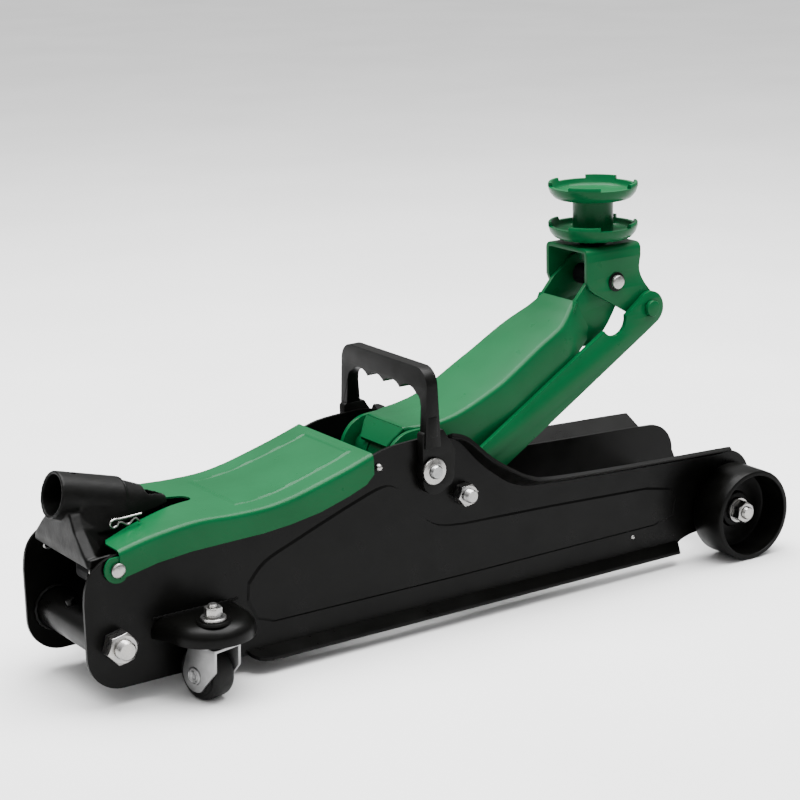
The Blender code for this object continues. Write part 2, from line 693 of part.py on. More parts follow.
def saddle_bracket():
    px, pz = SADDLE_PIN
    dx, dz = ROD_PIN
    top = BRACKET_TOP
    cheek = [(px - 0.0330, top - 0.0020), (px - 0.0330, pz + 0.0030), (px - 0.0305, pz - 0.0030),
             (px - 0.0245, pz - 0.0080), (px + 0.0115, pz - 0.0290), (dx - 0.0090, dz - 0.0108)]
    cheek += arc((dx, dz), 0.0140, 240, 372, 8) + [(px + 0.0425, pz - 0.0160), (px + 0.0325, pz - 0.0040),
                                                   (px + 0.0265, pz + 0.0090), (px + 0.0285, pz + 0.0290),
                                                   (px + 0.0285, top - 0.0020)]
    plan = [(px - 0.0328, -BRACKET_OUT), (px + 0.0283, -BRACKET_OUT), (px + 0.0283, BRACKET_OUT),
            (px - 0.0328, BRACKET_OUT)]
    web = loft("saddle_bracket", [[(x, y * scale, z) for x, y in plan] for z, scale in (
        (top - 0.0040, 0.999), (top - 0.0025, 0.997), (top - 0.0008, 0.975), (top, 0.935))])
    for word, side in SIDES:
        join(web, slab("bracket_cheek_" + word, [cheek], *span(side, BRACKET_IN, BRACKET_OUT)))
    cut(web, rod("bracket_bore", 0.0070, point_at(SADDLE_PIN, -0.06), point_at(SADDLE_PIN, 0.06), 20),
        rod("rod_pin_bore", 0.0066, point_at(ROD_PIN, -0.06), point_at(ROD_PIN, 0.06), 20),
        rod("stem_bore", 0.0126, (SADDLE_X, 0, 0.28), (SADDLE_X, 0, 0.32), 24))
    part(web, "green")
    for word, side in SIDES:
        axis = "Y" if side > 0 else "-Y"
        pin = [(0, 0.0405), (0.0067, 0.0405), (0.0074, 0.0398), (0.0074, 0.0368), (0.0062, 0.0368),
               (0.0062, 0.0257), (0.0085, 0.0257), (0.0085, 0.0235), (0, 0.0235)]
        part(turned("rod_pin_" + word, pin, point_at(ROD_PIN, 0), axis, steps=20), "green")
    part(rod("saddle_pin", 0.0065, point_at(SADDLE_PIN, -0.0350), point_at(SADDLE_PIN, 0.0350), 20, 0.0008),
         "zinc")
    sleeve = ring("pin_sleeve", 0.0069, 0.0095, point_at(SADDLE_PIN, -0.0212), 0.0424, "Y", 20)
    part(sleeve, "iron")


def dish_gaps(name, rim):
    """Four wedges that cut the rim of a dish down between its lugs."""
    gaps = []
    for i in range(4):
        middle = 90 * i
        outer = arc((SADDLE_X, 0), 0.0460, middle - 25, middle + 25, 3)
        inner = arc((SADDLE_X, 0), 0.0320, middle + 21, middle - 21, 3)
        gaps.append(sheet("%s_gap_%d" % (name, i), [outer + inner], rim - 0.0038, rim + 0.0100))
    return gaps


def saddles():
    low = DISH_RIM
    dish = [(0.0382, low), (DISH_R, low - 0.0008), (DISH_R, low - 0.0040), (0.0372, low - 0.0112),
            (0.0330, low - 0.0146), (0.0120, low - 0.0146), (0.0120, 0.2895), (0.0105, 0.2895),
            (0.0105, low - 0.0101), (0.0190, low - 0.0101), (0.0194, low - 0.0096),
            (0.0320, low - 0.0096), (0.0352, low - 0.0070)]
    saddle = turned("saddle", dish, (SADDLE_X, 0, 0), "Z", True, 26)
    part(cut(saddle, *dish_gaps("saddle", low)), "green")
    high = DISH_RIM + EXTENSION_RISE
    upper = [(0, high - 0.0096), (0.0320, high - 0.0096), (0.0352, high - 0.0070), (0.0382, high),
             (DISH_R, high - 0.0008), (DISH_R, high - 0.0040), (0.0372, high - 0.0112),
             (0.0330, high - 0.0146),
             (0.0183, high - 0.0160), (0.0183, low - 0.0092), (0.0101, low - 0.0092), (0.0101, 0.2920),
             (0, 0.2920)]
    extension = turned("saddle_extension", upper, (SADDLE_X, 0, 0), "Z", False, 26)
    part(cut(extension, *dish_gaps("extension", high)), "green")


# Hydraulics

def power_unit():
    block = box("pump_block", (BLOCK_REAR, -0.0532, 0.0500), (BLOCK_FRONT, 0.0532, 0.1085), 0.0020)
    hump = box("block_hump", (0.1180, -0.0350, 0.1000), (BLOCK_FRONT, 0.0350, 0.1290), 0.0020)
    join(block, hump)
    bores = [rod("plunger_bore", 0.0074, (0.0800, 0, ROLLER[1]), (0.1200, 0, ROLLER[1]), 16),
             rod("spindle_bore", 0.0054, (0.0800, 0, SPINDLE_Z), (0.1100, 0, SPINDLE_Z), 16)]
    part(cut(block, *bores), "iron")
    tank = [(0.0310, 0.0), (0.0340, 0.0), (0.0340, 0.0960), (0.0320, 0.0990), (0.0226, 0.0990),
            (0.0226, 0.0955),
            (0.0310, 0.0955)]
    tank = [(r, h) for r, h in reversed(tank)]
    part(turned("oil_tank", tank, (BLOCK_FRONT + GAP, 0, RAM_Z), "X", True, 20), "black")
    barrel = [(0.0220, 0.0), (0.0220, 0.1130), (0.0118, 0.1130), (0.0118, 0.1050), (0.0170, 0.1050),
              (0.0170, 0.0)]
    barrel = [(r, h) for r, h in reversed(barrel)]
    part(turned("lift_cylinder", barrel, (BLOCK_FRONT + GAP, 0, RAM_Z), "X", True, 18), "steel")
    plug = [(0, 0.0050), (0.0050, 0.0050), (0.0060, 0.0040), (0.0060, 0.0), (0, 0.0)]
    part(turned("filler_plug", plug, (0.2000, 0, RAM_Z + 0.0343), "Z", steps=14), "rubber")


def ram():
    start = 0.1960
    x0, x1 = CRANK_PIN[0] - 0.0155, CRANK_PIN[0] + 0.0195
    stop = x0 + 0.0060
    piston = [(0, stop - start), (0.0110, stop - start), (0.0110, 0.0150), (0.0166, 0.0150), (0.0166, 0),
              (0, 0)]
    part(turned("ram_rod", piston, (start, 0, RAM_Z), "X", steps=24), "steel")
    outline = [(x0, 0.0820), (x0 + 0.0020, 0.0640), (x0 + 0.0020, 0.0530), (x0 + 0.0130, 0.0530),
               (x0 + 0.0130, 0.0640), (x1, 0.0820), (x1, 0.1150), (x0, 0.1150)]
    slot_low, slot_high, half = 0.0945, 0.1030, 0.0076
    slot = arc((CRANK_PIN[0], slot_low), half, 180, 360, 8) + arc((CRANK_PIN[0], slot_high), half, 0, 180, 8)
    head = slab("ram_head", [outline, slot], -0.0115, 0.0115)
    bar = rod("spring_bar", 0.0035, (x0 + 0.0075, -0.0260, 0.0580), (x0 + 0.0075, 0.0260, 0.0580), 12)
    join(head, bar)
    cut(head, rod("rod_seat", 0.0114, (x0 - 0.0050, 0, RAM_Z), (stop + GAP, 0, RAM_Z), 24))
    part(head, "iron")


def return_springs():
    for word, side in SIDES:
        start, stop = BLOCK_FRONT + 0.0016, CRANK_PIN[0] - 0.0155
        points = []
        turns, per_turn = 9, 6
        for i in range(turns * per_turn + 1):
            angle = 2 * math.pi * i / per_turn
            along = start + (stop - start) * i / (turns * per_turn)
            points.append((along, side * (0.0205 + 0.0045 * math.cos(angle)),
                           0.0580 + 0.0045 * math.sin(angle)))
        part(wire("return_spring_" + word, points, 0.0009, 0), "zinc")


def plan_loop(z, rear, half, bend, waist, front, tip):
    """A plan outline that is wide behind the bend and tapers to its tip."""
    loop = [(rear, -half), (bend - 0.0130, -half), (bend, -waist), (front, -tip), (front, tip),
            (bend, waist),
            (bend - 0.0130, half), (rear, half)]
    return [(x, y, z) for x, y in loop]


def nose(name, stations):
    """A tapering block from (x, half width, bottom, top) stations."""
    return loft(name, [[(x, -half, low), (x, half, low), (x, half * 0.8, high), (x, -half * 0.8, high)]
                       for x, half, low, high in stations])


def handle_socket():
    """The tube that takes the jack handle, on a flared yoke that pivots between the side plates."""
    start = Vector((SOCKET_MOUTH[0], 0, SOCKET_MOUTH[1]))
    line = Vector((math.cos(SOCKET_ANGLE), 0, -math.sin(SOCKET_ANGLE)))
    tube = rod("handle_socket", SOCKET_R, start, start + line * 0.0580, 20)
    skirt = loft("socket_skirt", [plan_loop(0.1160, 0.0080, 0.0484, 0.0300, 0.0280, 0.0500, 0.0210),
                                  plan_loop(0.1250, 0.0070, 0.0450, 0.0300, 0.0275, 0.0600, 0.0180),
                                  plan_loop(0.1420, 0.0080, 0.0270, 0.0300, 0.0220, 0.0730, 0.0120),
                                  plan_loop(0.1530, 0.0090, 0.0185, 0.0300, 0.0180, 0.0700, 0.0090)])
    hollow = loft("socket_hollow", [plan_loop(0.1100, 0.0118, 0.0440, 0.0282, 0.0240, 0.0462, 0.0172),
                                    plan_loop(0.1210, 0.0112, 0.0430, 0.0282, 0.0236, 0.0530, 0.0150),
                                    plan_loop(0.1330, 0.0118, 0.0280, 0.0282, 0.0180, 0.0600, 0.0090)])
    taper = nose("socket_nose", [(0.0540, 0.0190, 0.1404, 0.1690), (0.0700, 0.0160, 0.1404, 0.1652),
                                 (0.0906, 0.0112, 0.1412, 0.1565), (0.1038, 0.0050, 0.1430, 0.1456)])
    scoop = nose("socket_scoop", [(0.0810, 0.0110, 0.1448, 0.1900), (0.0906, 0.0088, 0.1442, 0.1900),
                                  (0.1012, 0.0034, 0.1450, 0.1900)])
    join(tube, skirt, taper)
    cut(tube, hollow, scoop)
    for word, side in SIDES:
        ear = arc(HINGE, 0.0100, -100, 85, 9) + [(0.0180, 0.1243), (0.0093, 0.1235), (0.0093, 0.1172)]
        join(tube, slab("socket_ear_" + word, [ear], *span(side, 0.0455, 0.0495)))
        lug = arc(ROLLER, 0.0062, 180, 360, 6) + [(0.0415, 0.1435), (0.0245, 0.1445)]
        join(tube, slab("roller_lug_" + word, [lug], *span(side, 0.0105, 0.0140)))
    bore = rod("socket_bore", 0.0165, start - line * 0.0100, start + line * 0.0560, 20)
    hole = rod("clamp_hole", 0.0032, (0.0200, 0, 0.1650), (0.0240, 0, 0.2000), 14)
    pins = [rod("socket_pin_right", 0.0051, point_at(HINGE, -0.06), point_at(HINGE, -0.0440)),
            rod("socket_pin_left", 0.0051, point_at(HINGE, 0.0440), point_at(HINGE, 0.06)),
            rod("roller_pins", 0.0034, point_at(ROLLER, -0.02), point_at(ROLLER, 0.02))]
    part(cut(tube, bore, hole, *pins), "black")
    axle = [(0, 0.0155), (0.0030, 0.0155), (0.0030, 0.0101), (0.0080, 0.0101), (0.0080, -0.0101),
            (0.0030, -0.0101),
            (0.0030, -0.0155), (0, -0.0155)]
    part(turned("pump_roller", axle, point_at(ROLLER, 0), "Y", steps=18), "steel")


def pump():
    face = ROLLER[0] + 0.0083
    plunger = [(0, 0.0680), (0.0070, 0.0680), (0.0070, 0.0040), (0.0105, 0.0040), (0.0105, 0), (0, 0)]
    part(turned("pump_plunger", plunger, (face, 0, ROLLER[1]), "X", steps=18), "steel")
    points = []
    turns, per_turn = 5, 8
    start, stop = face + 0.0052, BLOCK_REAR - 0.0012
    for i in range(turns * per_turn + 1):
        angle = 2 * math.pi * i / per_turn
        along = start + (stop - start) * i / (turns * per_turn)
        points.append((along, 0.0089 * math.cos(angle), ROLLER[1] + 0.0089 * math.sin(angle)))
    part(wire("plunger_spring", points, 0.0009, 0), "zinc")
    spindle = [(0, 0.0500), (0.0050, 0.0500), (0.0050, 0.0080), (0.0080, 0.0080), (0.0080, 0), (0, 0)]
    spindle = turned("release_spindle", spindle, (0.0520, 0, SPINDLE_Z), "X", steps=16)
    cross = rod("spindle_cross", 0.0020, (0.0560, 0, 0.0640), (0.0560, 0, 0.0840), 10)
    part(join(spindle, cross), "zinc")


def hinge_pins():
    for word, side in SIDES:
        axis = "Y" if side > 0 else "-Y"
        pin = [(0, 0.0635), (0.0050, 0.0635), (0.0060, 0.0625), (0.0060, COVER_OUT + GAP),
               (0.0045, COVER_OUT + GAP), (0.0045, 0.0395), (0, 0.0395)]
        body = turned("hinge_pin_" + word, pin, point_at(HINGE, 0), axis, steps=18)
        y = side * 0.0415
        cross = rod("clip_hole_" + word, 0.0014, (HINGE[0], y, HINGE[1] - 0.01),
                    (HINGE[0], y, HINGE[1] + 0.01), 8)
        part(cut(body, cross), "zinc")
        bend = arc((HINGE[0] + 0.0026, HINGE[1] - 0.0150), 0.0026, 180, 360, 6)
        wave = [(0.0062, -0.0100), (0.0078, -0.0045), (0.0068, 0.0), (0.0078, 0.0045), (0.0062, 0.0085),
                (0.0085, 0.0110)]
        points = [(HINGE[0], y, HINGE[1] + 0.0100), (HINGE[0], y, HINGE[1] - 0.0120)]
        points += [(x, y, z) for x, z in bend]
        points += [(HINGE[0] + dx, y, HINGE[1] + dz) for dx, dz in wave]
        part(wire("hinge_clip_" + word, points, 0.0009, 0), "zinc")


# Joint axes

def ride_on(name, pivot, nodes, parent=None):
    """Parents nodes to an empty on a joint's axis."""
    empty = bpy.data.objects.new(name, None)
    empty.empty_display_size = 0.02
    PARTS.objects.link(empty)
    empty.location = (pivot[0] - X_MID, pivot[1], pivot[2])
    bpy.context.view_layer.update()
    if parent:
        empty.parent = parent
        empty.matrix_parent_inverse = parent.matrix_world.inverted()
        bpy.context.view_layer.update()
    for node in nodes:
        child = bpy.data.objects[node]
        child.parent = empty
        child.matrix_parent_inverse = empty.matrix_world.inverted()
    return empty


def joint_axes():
    arm = ride_on("arm_pivot", point_at(ARM_PIVOT, 0), ["lift_arm", "crank_pin", "saddle_pin", "pin_sleeve"])
    bracket = ride_on("bracket_pivot", point_at(SADDLE_PIN, 0), ["saddle_bracket", "rod_pin_right",
                                                                 "rod_pin_left"], arm)
    dish = ride_on("saddle_turn", (SADDLE_X, 0, DISH_RIM), ["saddle"], bracket)
    ride_on("extension_lift", (SADDLE_X, 0, DISH_RIM), ["saddle_extension"], dish)
    ride_on("ram_line", (CRANK_PIN[0], 0, RAM_Z), ["ram_rod", "ram_head"])
    ride_on("socket_pivot", point_at(HINGE, 0), ["handle_socket", "pump_roller"])
    ride_on("plunger_line", (BLOCK_REAR, 0, ROLLER[1]), ["pump_plunger"])
    ride_on("spindle_line", (BLOCK_REAR, 0, SPINDLE_Z), ["release_spindle"])
    for word, side in SIDES:
        ride_on("rod_anchor_" + word, point_at(ROD_ANCHOR, side * ROD_AT_ANCHOR), ["radius_rod_" + word])
        ride_on("front_hub_" + word, point_at(AXLE, side * WHEEL_FACE), ["front_wheel_" + word])
        swivel = ride_on("swivel_" + word, (SWIVEL[0], side * SWIVEL[1], 0.05), ["caster_fork_" + word])
        hub = Vector((math.cos(TRAIL_ANGLE), -side * math.sin(TRAIL_ANGLE), 0)) * TRAIL
        centre = (SWIVEL[0] + hub.x, side * SWIVEL[1] + hub.y, CASTER_R)
        ride_on("caster_hub_" + word, centre, ["caster_wheel_" + word], swivel)


side_plates()
rear_crossing()
front_wheels()
casters()
cover()
carry_handle()
lift_arm()
radius_rods()
saddle_bracket()
saddles()
power_unit()
ram()
return_springs()
handle_socket()
pump()
hinge_pins()
joint_axes()
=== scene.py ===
"""The looks of the low-profile floor jack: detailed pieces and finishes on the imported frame. Metres, +Z up.

Every x below is measured forward from the rear edge of the side plates, as in the model, and baked()
moves it to the frame's origin. Right is the -Y side.
"""

import math

import bmesh
import bpy
from mathutils import Matrix, Vector


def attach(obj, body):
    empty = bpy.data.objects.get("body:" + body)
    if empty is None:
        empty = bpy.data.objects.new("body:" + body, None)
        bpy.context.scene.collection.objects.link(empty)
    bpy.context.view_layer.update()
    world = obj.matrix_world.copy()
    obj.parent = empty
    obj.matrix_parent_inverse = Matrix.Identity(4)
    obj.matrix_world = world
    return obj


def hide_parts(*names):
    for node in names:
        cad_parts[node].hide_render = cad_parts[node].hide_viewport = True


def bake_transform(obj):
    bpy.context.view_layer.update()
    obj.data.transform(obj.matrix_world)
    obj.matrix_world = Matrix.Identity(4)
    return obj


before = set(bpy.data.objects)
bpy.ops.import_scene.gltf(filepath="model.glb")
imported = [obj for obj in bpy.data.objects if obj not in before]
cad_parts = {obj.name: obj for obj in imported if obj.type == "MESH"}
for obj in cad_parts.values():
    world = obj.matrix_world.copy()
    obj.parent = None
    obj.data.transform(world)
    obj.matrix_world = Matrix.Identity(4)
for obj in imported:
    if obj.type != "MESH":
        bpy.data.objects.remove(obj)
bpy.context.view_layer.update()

X_MID = 0.3517
GAP = 0.0003
PLATE_OUT = 0.0567
PLATE_IN = 0.0537
ARM_PIVOT = (0.3257, 0.1415)
ARM_LENGTH = 0.26056
ARM_ANGLE = math.radians(29.04)
LINK_STEP = (0.0360, -0.0285)
CRANK_LENGTH = 0.048
CRANK_ANGLE = math.radians(-75.75)
ROD_AT_ANCHOR = 0.0482
ROD_AT_PIN = 0.0335
ROD_T = 0.0045
BRACKET_OUT = 0.0300
BRACKET_IN = 0.0260
BRACKET_TOP = 0.3010
CHEEK_OUT = 0.0255
SADDLE_X = 0.5509
DISH_R = 0.0405
DISH_RIM = 0.3201
EXTENSION_RISE = 0.0358
AXLE = (0.6629, 0.0426)
WHEEL_FACE = 0.0980
WHEEL_WIDTH = 0.0387
REAR_ROD = (0.0249, 0.0526)
DOME_CENTRE = (0.1000, 0.0760)
DOME_R = 0.0360
SWIVEL = (0.0940, 0.0910)
TRAIL = 0.0100
TRAIL_ANGLE = math.radians(102.4)
CASTER_R = 0.0220
HINGE = (0.0280, 0.1150)
SOCKET_MOUTH = (0.0030, 0.1670)
SOCKET_ANGLE = math.radians(15.3)
SOCKET_R = 0.0195
ROLLER = (0.0330, 0.0960)
COVER_OUT = 0.0596
BAIL_X = 0.3255
COVER_TOP = [(0.0170, 0.1200), (0.0300, 0.1290), (0.0600, 0.1355), (0.1000, 0.1400), (0.1350, 0.1388),
             (0.1650, 0.1390), (0.1900, 0.1425), (0.2200, 0.1500), (0.2450, 0.1570), (0.2689, 0.1646)]
SIDES = (("right", -1), ("left", 1))


# Finishes

def nodes_of(name):
    made = bpy.data.materials.new(name)
    made.use_nodes = True
    tree = made.node_tree
    return made, tree, tree.nodes["Principled BSDF"]


def coordinates(tree):
    return tree.nodes.new("ShaderNodeTexCoord").outputs["Object"]


def noise(tree, scale, detail=3.0, roughness=0.5, stretch=None):
    source = coordinates(tree)
    if stretch:
        mapping = tree.nodes.new("ShaderNodeMapping")
        mapping.inputs["Scale"].default_value = stretch
        tree.links.new(source, mapping.inputs["Vector"])
        source = mapping.outputs["Vector"]
    made = tree.nodes.new("ShaderNodeTexNoise")
    made.inputs["Scale"].default_value = scale
    made.inputs["Detail"].default_value = detail
    made.inputs["Roughness"].default_value = roughness
    tree.links.new(source, made.inputs["Vector"])
    return made.outputs["Fac"]


def ramp(tree, source, stops):
    made = tree.nodes.new("ShaderNodeValToRGB")
    made.color_ramp.elements[0].position, made.color_ramp.elements[1].position = stops[0][0], stops[-1][0]
    for element, (_, colour) in zip(made.color_ramp.elements, (stops[0], stops[-1])):
        element.color = (*colour, 1)
    for position, colour in stops[1:-1]:
        made.color_ramp.elements.new(position).color = (*colour, 1)
    tree.links.new(source, made.inputs["Fac"])
    return made.outputs["Color"]


def spread(tree, source, low, high):
    made = tree.nodes.new("ShaderNodeMapRange")
    made.inputs["From Min"].default_value = 0.3
    made.inputs["From Max"].default_value = 0.7
    made.inputs["To Min"].default_value = low
    made.inputs["To Max"].default_value = high
    tree.links.new(source, made.inputs["Value"])
    return made.outputs["Result"]


def bump(tree, shader, source, strength, distance):
    made = tree.nodes.new("ShaderNodeBump")
    made.inputs["Strength"].default_value = strength
    made.inputs["Distance"].default_value = distance
    tree.links.new(source, made.inputs["Height"])
    tree.links.new(made.outputs["Normal"], shader.inputs["Normal"])


def finish(name, dark, light, low, high, drift, gloss, grain, strength, depth, top=0.70, shine=None):
    """A colour drifting from dark to light, patchy gloss from low to high and a fine grain.

    drift, gloss and grain are what noise() takes. Without a shine it is bare metal.
    """
    made, tree, shader = nodes_of(name)
    if shine is None:
        shader.inputs["Metallic"].default_value = 1.0
    else:
        shader.inputs["Specular IOR Level"].default_value = shine
    colour = ramp(tree, noise(tree, *drift), [(0.30, dark), (top, light)])
    tree.links.new(colour, shader.inputs["Base Color"])
    tree.links.new(spread(tree, noise(tree, *gloss), low, high), shader.inputs["Roughness"])
    bump(tree, shader, noise(tree, *grain), strength, depth)
    return made


def enamel(name, dark, light, low, high, shine):
    """Sprayed enamel: slow colour drift, orange peel and patchy gloss."""
    return finish(name, dark, light, low, high, (14, 4), (45, 5, 0.6), (420, 2), 0.05, 0.0003, 0.72, shine)


def plated(name, dark, light, low, high, stretch):
    """Plated or bright metal, with faint tool marks along one direction."""
    return finish(name, dark, light, low, high, (90, 4), (260, 4, 0.6, stretch), (900, 3, 0.6, stretch), 0.12,
                  0.0002)


def moulded(name, dark, light, low, high, grain, depth, shine):
    """Moulded plastic or rubber with a fine grain."""
    return finish(name, dark, light, low, high, (30, 4), (60, 4), (grain, 2), 0.25, depth, shine=shine)


def cast(name, dark, light, low, high):
    """A painted casting, pitted and uneven."""
    return finish(name, dark, light, low, high, (40, 5), (70, 5), (220, 6, 0.65), 0.30, 0.0006, shine=0.08)


GREEN = enamel("green_enamel", (0.0004, 0.043, 0.0126), (0.0008, 0.055, 0.0168), 0.26, 0.38, 0.08)
BLACK = enamel("black_enamel", (0.0008, 0.0008, 0.0007), (0.0015, 0.0015, 0.0013), 0.26, 0.40, 0.07)
ZINC = plated("zinc_plate", (0.22, 0.22, 0.22), (0.30, 0.29, 0.275), 0.22, 0.38, (1, 6, 1))
STEEL = plated("ground_steel", (0.18, 0.18, 0.18), (0.24, 0.24, 0.24), 0.18, 0.34, (6, 1, 6))
FORK = plated("fork_plate", (0.20, 0.20, 0.20), (0.26, 0.26, 0.26), 0.34, 0.50, (1, 1, 5))
GRIP = moulded("moulded_grip", (0.0010, 0.0010, 0.0009), (0.0019, 0.0019, 0.0017), 0.32, 0.46, 1500, 0.0002,
               0.07)
WHEEL = moulded("moulded_wheel", (0.0007, 0.0007, 0.0006), (0.0013, 0.0013, 0.0011), 0.30, 0.44, 900, 0.0002,
                0.06)
RUBBER = moulded("rubber", (0.0014, 0.0014, 0.0013), (0.0026, 0.0026, 0.0024), 0.45, 0.62, 700, 0.0003, 0.12)
IRON = cast("cast_iron", (0.0040, 0.0040, 0.0043), (0.0090, 0.0090, 0.0094), 0.45, 0.62)
CASTING = cast("black_casting", (0.0009, 0.0009, 0.0008), (0.0017, 0.0017, 0.0015), 0.34, 0.50)


# Building helpers

def link(obj):
    bpy.context.scene.collection.objects.link(obj)
    return obj


def meshed(name, work, outward=True):
    """The object that a bmesh makes, with its faces turned outward."""
    if outward:
        bmesh.ops.recalc_face_normals(work, faces=work.faces)
    mesh = bpy.data.meshes.new(name)
    work.to_mesh(mesh)
    work.free()
    return link(bpy.data.objects.new(name, mesh))


def baked(obj, shift=True):
    """The object's modifiers and placing, baked into a plain mesh in the frame's own coordinates."""
    bpy.context.view_layer.update()
    mesh = bpy.data.meshes.new_from_object(obj.evaluated_get(bpy.context.evaluated_depsgraph_get()))
    offset = Matrix.Translation((-X_MID if shift else 0, 0, 0))
    mesh.transform(offset @ obj.matrix_world)
    work = bmesh.new()
    work.from_mesh(mesh)
    bmesh.ops.remove_doubles(work, verts=work.verts, dist=0.00001)
    bmesh.ops.recalc_face_normals(work, faces=work.faces)
    work.to_mesh(mesh)
    work.free()
    name = obj.name
    bpy.data.objects.remove(obj, do_unlink=True)
    return link(bpy.data.objects.new(name, mesh))


def boolean(obj, operation, tools):
    for tool in tools:
        step = obj.modifiers.new("boolean", "BOOLEAN")
        step.operation = operation
        step.object = tool
        step.solver = "EXACT"
    made = baked(obj, False)
    for tool in tools:
        bpy.data.objects.remove(tool, do_unlink=True)
    return made


def join(obj, *tools):
    return boolean(obj, "UNION", tools)


def cut(obj, *tools):
    return boolean(obj, "DIFFERENCE", tools)


def together(name, pieces):
    """One object from several closed pieces that touch or pass through each other, as welded parts do."""
    work = bmesh.new()
    for piece in pieces:
        work.from_mesh(piece.data)
        bpy.data.objects.remove(piece, do_unlink=True)
    return meshed(name, work, False)


def rounded(obj, width, segments=2, angle=35):
    """Rounds the sharp edges and bakes the result."""
    edge = obj.modifiers.new("edges", "BEVEL")
    edge.width = width
    edge.segments = segments
    edge.limit_method = "ANGLE"
    edge.angle_limit = math.radians(angle)
    edge.use_clamp_overlap = True
    return baked(obj, False)


def dressed(obj, body, finish, *nodes, sharp=40):
    """Gives a piece its finish and body, and puts it in place of the CAD nodes named."""
    obj.data.materials.clear()
    obj.data.materials.append(finish)
    obj.data.shade_smooth()
    obj.data.set_sharp_from_angle(angle=math.radians(sharp))
    if nodes:
        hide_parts(*nodes)
    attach(obj, body)
    return obj


def arc(centre, radius, start, end, steps):
    points = []
    for i in range(steps + 1):
        angle = math.radians(start + (end - start) * i / steps)
        points.append((centre[0] + radius * math.cos(angle), centre[1] + radius * math.sin(angle)))
    return points


def circle(centre, radius, steps=40):
    return arc(centre, radius, 0, 360 - 360 / steps, steps - 1)


def smooth(points, per_span=6):
    """A Catmull-Rom curve through the points."""
    made = []
    ends = [points[0]] + list(points) + [points[-1]]
    for i in range(1, len(ends) - 2):
        before, here, there, after = (Vector(p) for p in ends[i - 1:i + 3])
        for k in range(per_span):
            t = k / per_span
            made.append(tuple(0.5 * (2 * here + (there - before) * t
                                     + (2 * before - 5 * here + 4 * there - after) * t * t
                                     + (3 * here - before - 3 * there + after) * t ** 3)))
    return made + [tuple(points[-1])]


def turned_about(point, centre, angle):
    along, across = point
    return (centre[0] + along * math.cos(angle) - across * math.sin(angle), centre[1]
            + along * math.sin(angle) + across * math.cos(angle))


def flat(name, loops, low, high):
    curve = bpy.data.curves.new(name, "CURVE")
    curve.dimensions = "2D"
    curve.fill_mode = "BOTH"
    curve.extrude = (high - low) / 2
    for loop in loops:
        spline = curve.splines.new("POLY")
        spline.points.add(len(loop) - 1)
        for slot, (x, y) in zip(spline.points, loop):
            slot.co = (x, y, 0, 1)
        spline.use_cyclic_u = True
    made = link(bpy.data.objects.new(name, curve))
    made.location.z = (low + high) / 2
    return made


def slab(name, loops, near, far):
    made = flat(name, loops, near, far)
    made.location = (0, (near + far) / 2, 0)
    made.rotation_euler.x = math.pi / 2
    return baked(made)


def plan_slab(name, loops, low, high):
    return baked(flat(name, loops, low, high))


def both_ends(half):
    """A turned profile, mirrored about its middle."""
    return half + [(r, -h) for r, h in reversed(half)]


def both_sides(half):
    """An outline, mirrored about the centre plane."""
    return half + [(-y, z) for y, z in reversed(half)]


AXES = {"Z": (0, 0, 0), "Y": (-math.pi / 2, 0, 0), "-Y": (math.pi / 2, 0, 0), "X": (0, math.pi / 2, 0)}


def turned(name, profile, centre, axis="Z", steps=48, closed=False):
    """A turned piece from a profile of (radius, height) points. A closed one has a bore."""
    work = bmesh.new()
    rings = []
    for r, h in profile:
        if r < 1e-7:
            rings.append([work.verts.new((0, 0, h))])
            continue
        rings.append([work.verts.new((r * math.cos(2 * math.pi * i / steps),
                                      r * math.sin(2 * math.pi * i / steps), h)) for i in range(steps)])
    pairs = list(zip(rings, rings[1:])) + ([(rings[-1], rings[0])] if closed else [])
    for a, b in pairs:
        for i in range(steps):
            j = (i + 1) % steps
            corners = [a[i % len(a)], a[j % len(a)], b[j % len(b)], b[i % len(b)]]
            unique = list(dict.fromkeys(corners))
            if len(unique) > 2:
                work.faces.new(unique)
    made = meshed(name, work)
    made.rotation_euler = AXES[axis]
    made.location = centre
    return baked(made)


def rod(name, radius, start, end, steps=40):
    line = Vector(end) - Vector(start)
    profile = [(0, line.length), (radius, line.length), (radius, 0), (0, 0)]
    made = turned(name, profile, (X_MID, 0, 0), "Z", steps)
    made.rotation_mode = "QUATERNION"
    made.rotation_quaternion = Vector((0, 0, 1)).rotation_difference(line)
    made.location = start
    return baked(made)


def loft(name, sections):
    work = bmesh.new()
    rings = [[work.verts.new(point) for point in section] for section in sections]
    count = len(rings[0])
    for lower, upper in zip(rings, rings[1:]):
        for i in range(count):
            work.faces.new((lower[i], lower[(i + 1) % count], upper[(i + 1) % count], upper[i]))
    work.faces.new(rings[0])
    work.faces.new(rings[-1])
    return baked(meshed(name, work))


def wire(name, points, radius, per_span=4, sides=3):
    curve = bpy.data.curves.new(name, "CURVE")
    curve.dimensions = "3D"
    curve.bevel_depth = radius
    curve.bevel_resolution = sides
    curve.use_fill_caps = True
    route = smooth(points, per_span) if per_span > 1 else points
    spline = curve.splines.new("POLY")
    spline.points.add(len(route) - 1)
    for slot, point in zip(spline.points, route):
        slot.co = (*point, 1)
    return baked(link(bpy.data.objects.new(name, curve)))


def thread(radius, start, stop, pitch=0.00125):
    """Profile points of a thread's crests and roots, from its outer end down."""
    points = []
    count = max(1, int(abs(start - stop) / pitch))
    for i in range(count):
        h = start + (stop - start) * i / count
        points.append((radius * 0.93, h))
        points.append((radius, h + (stop - start) * 0.45 / count))
    points.append((radius, stop))
    return points


def hexagon(centre, across_flats, turn=0):
    return [turned_about((across_flats / math.sqrt(3), 0), centre, math.radians(60 * i + turn))
            for i in range(6)]


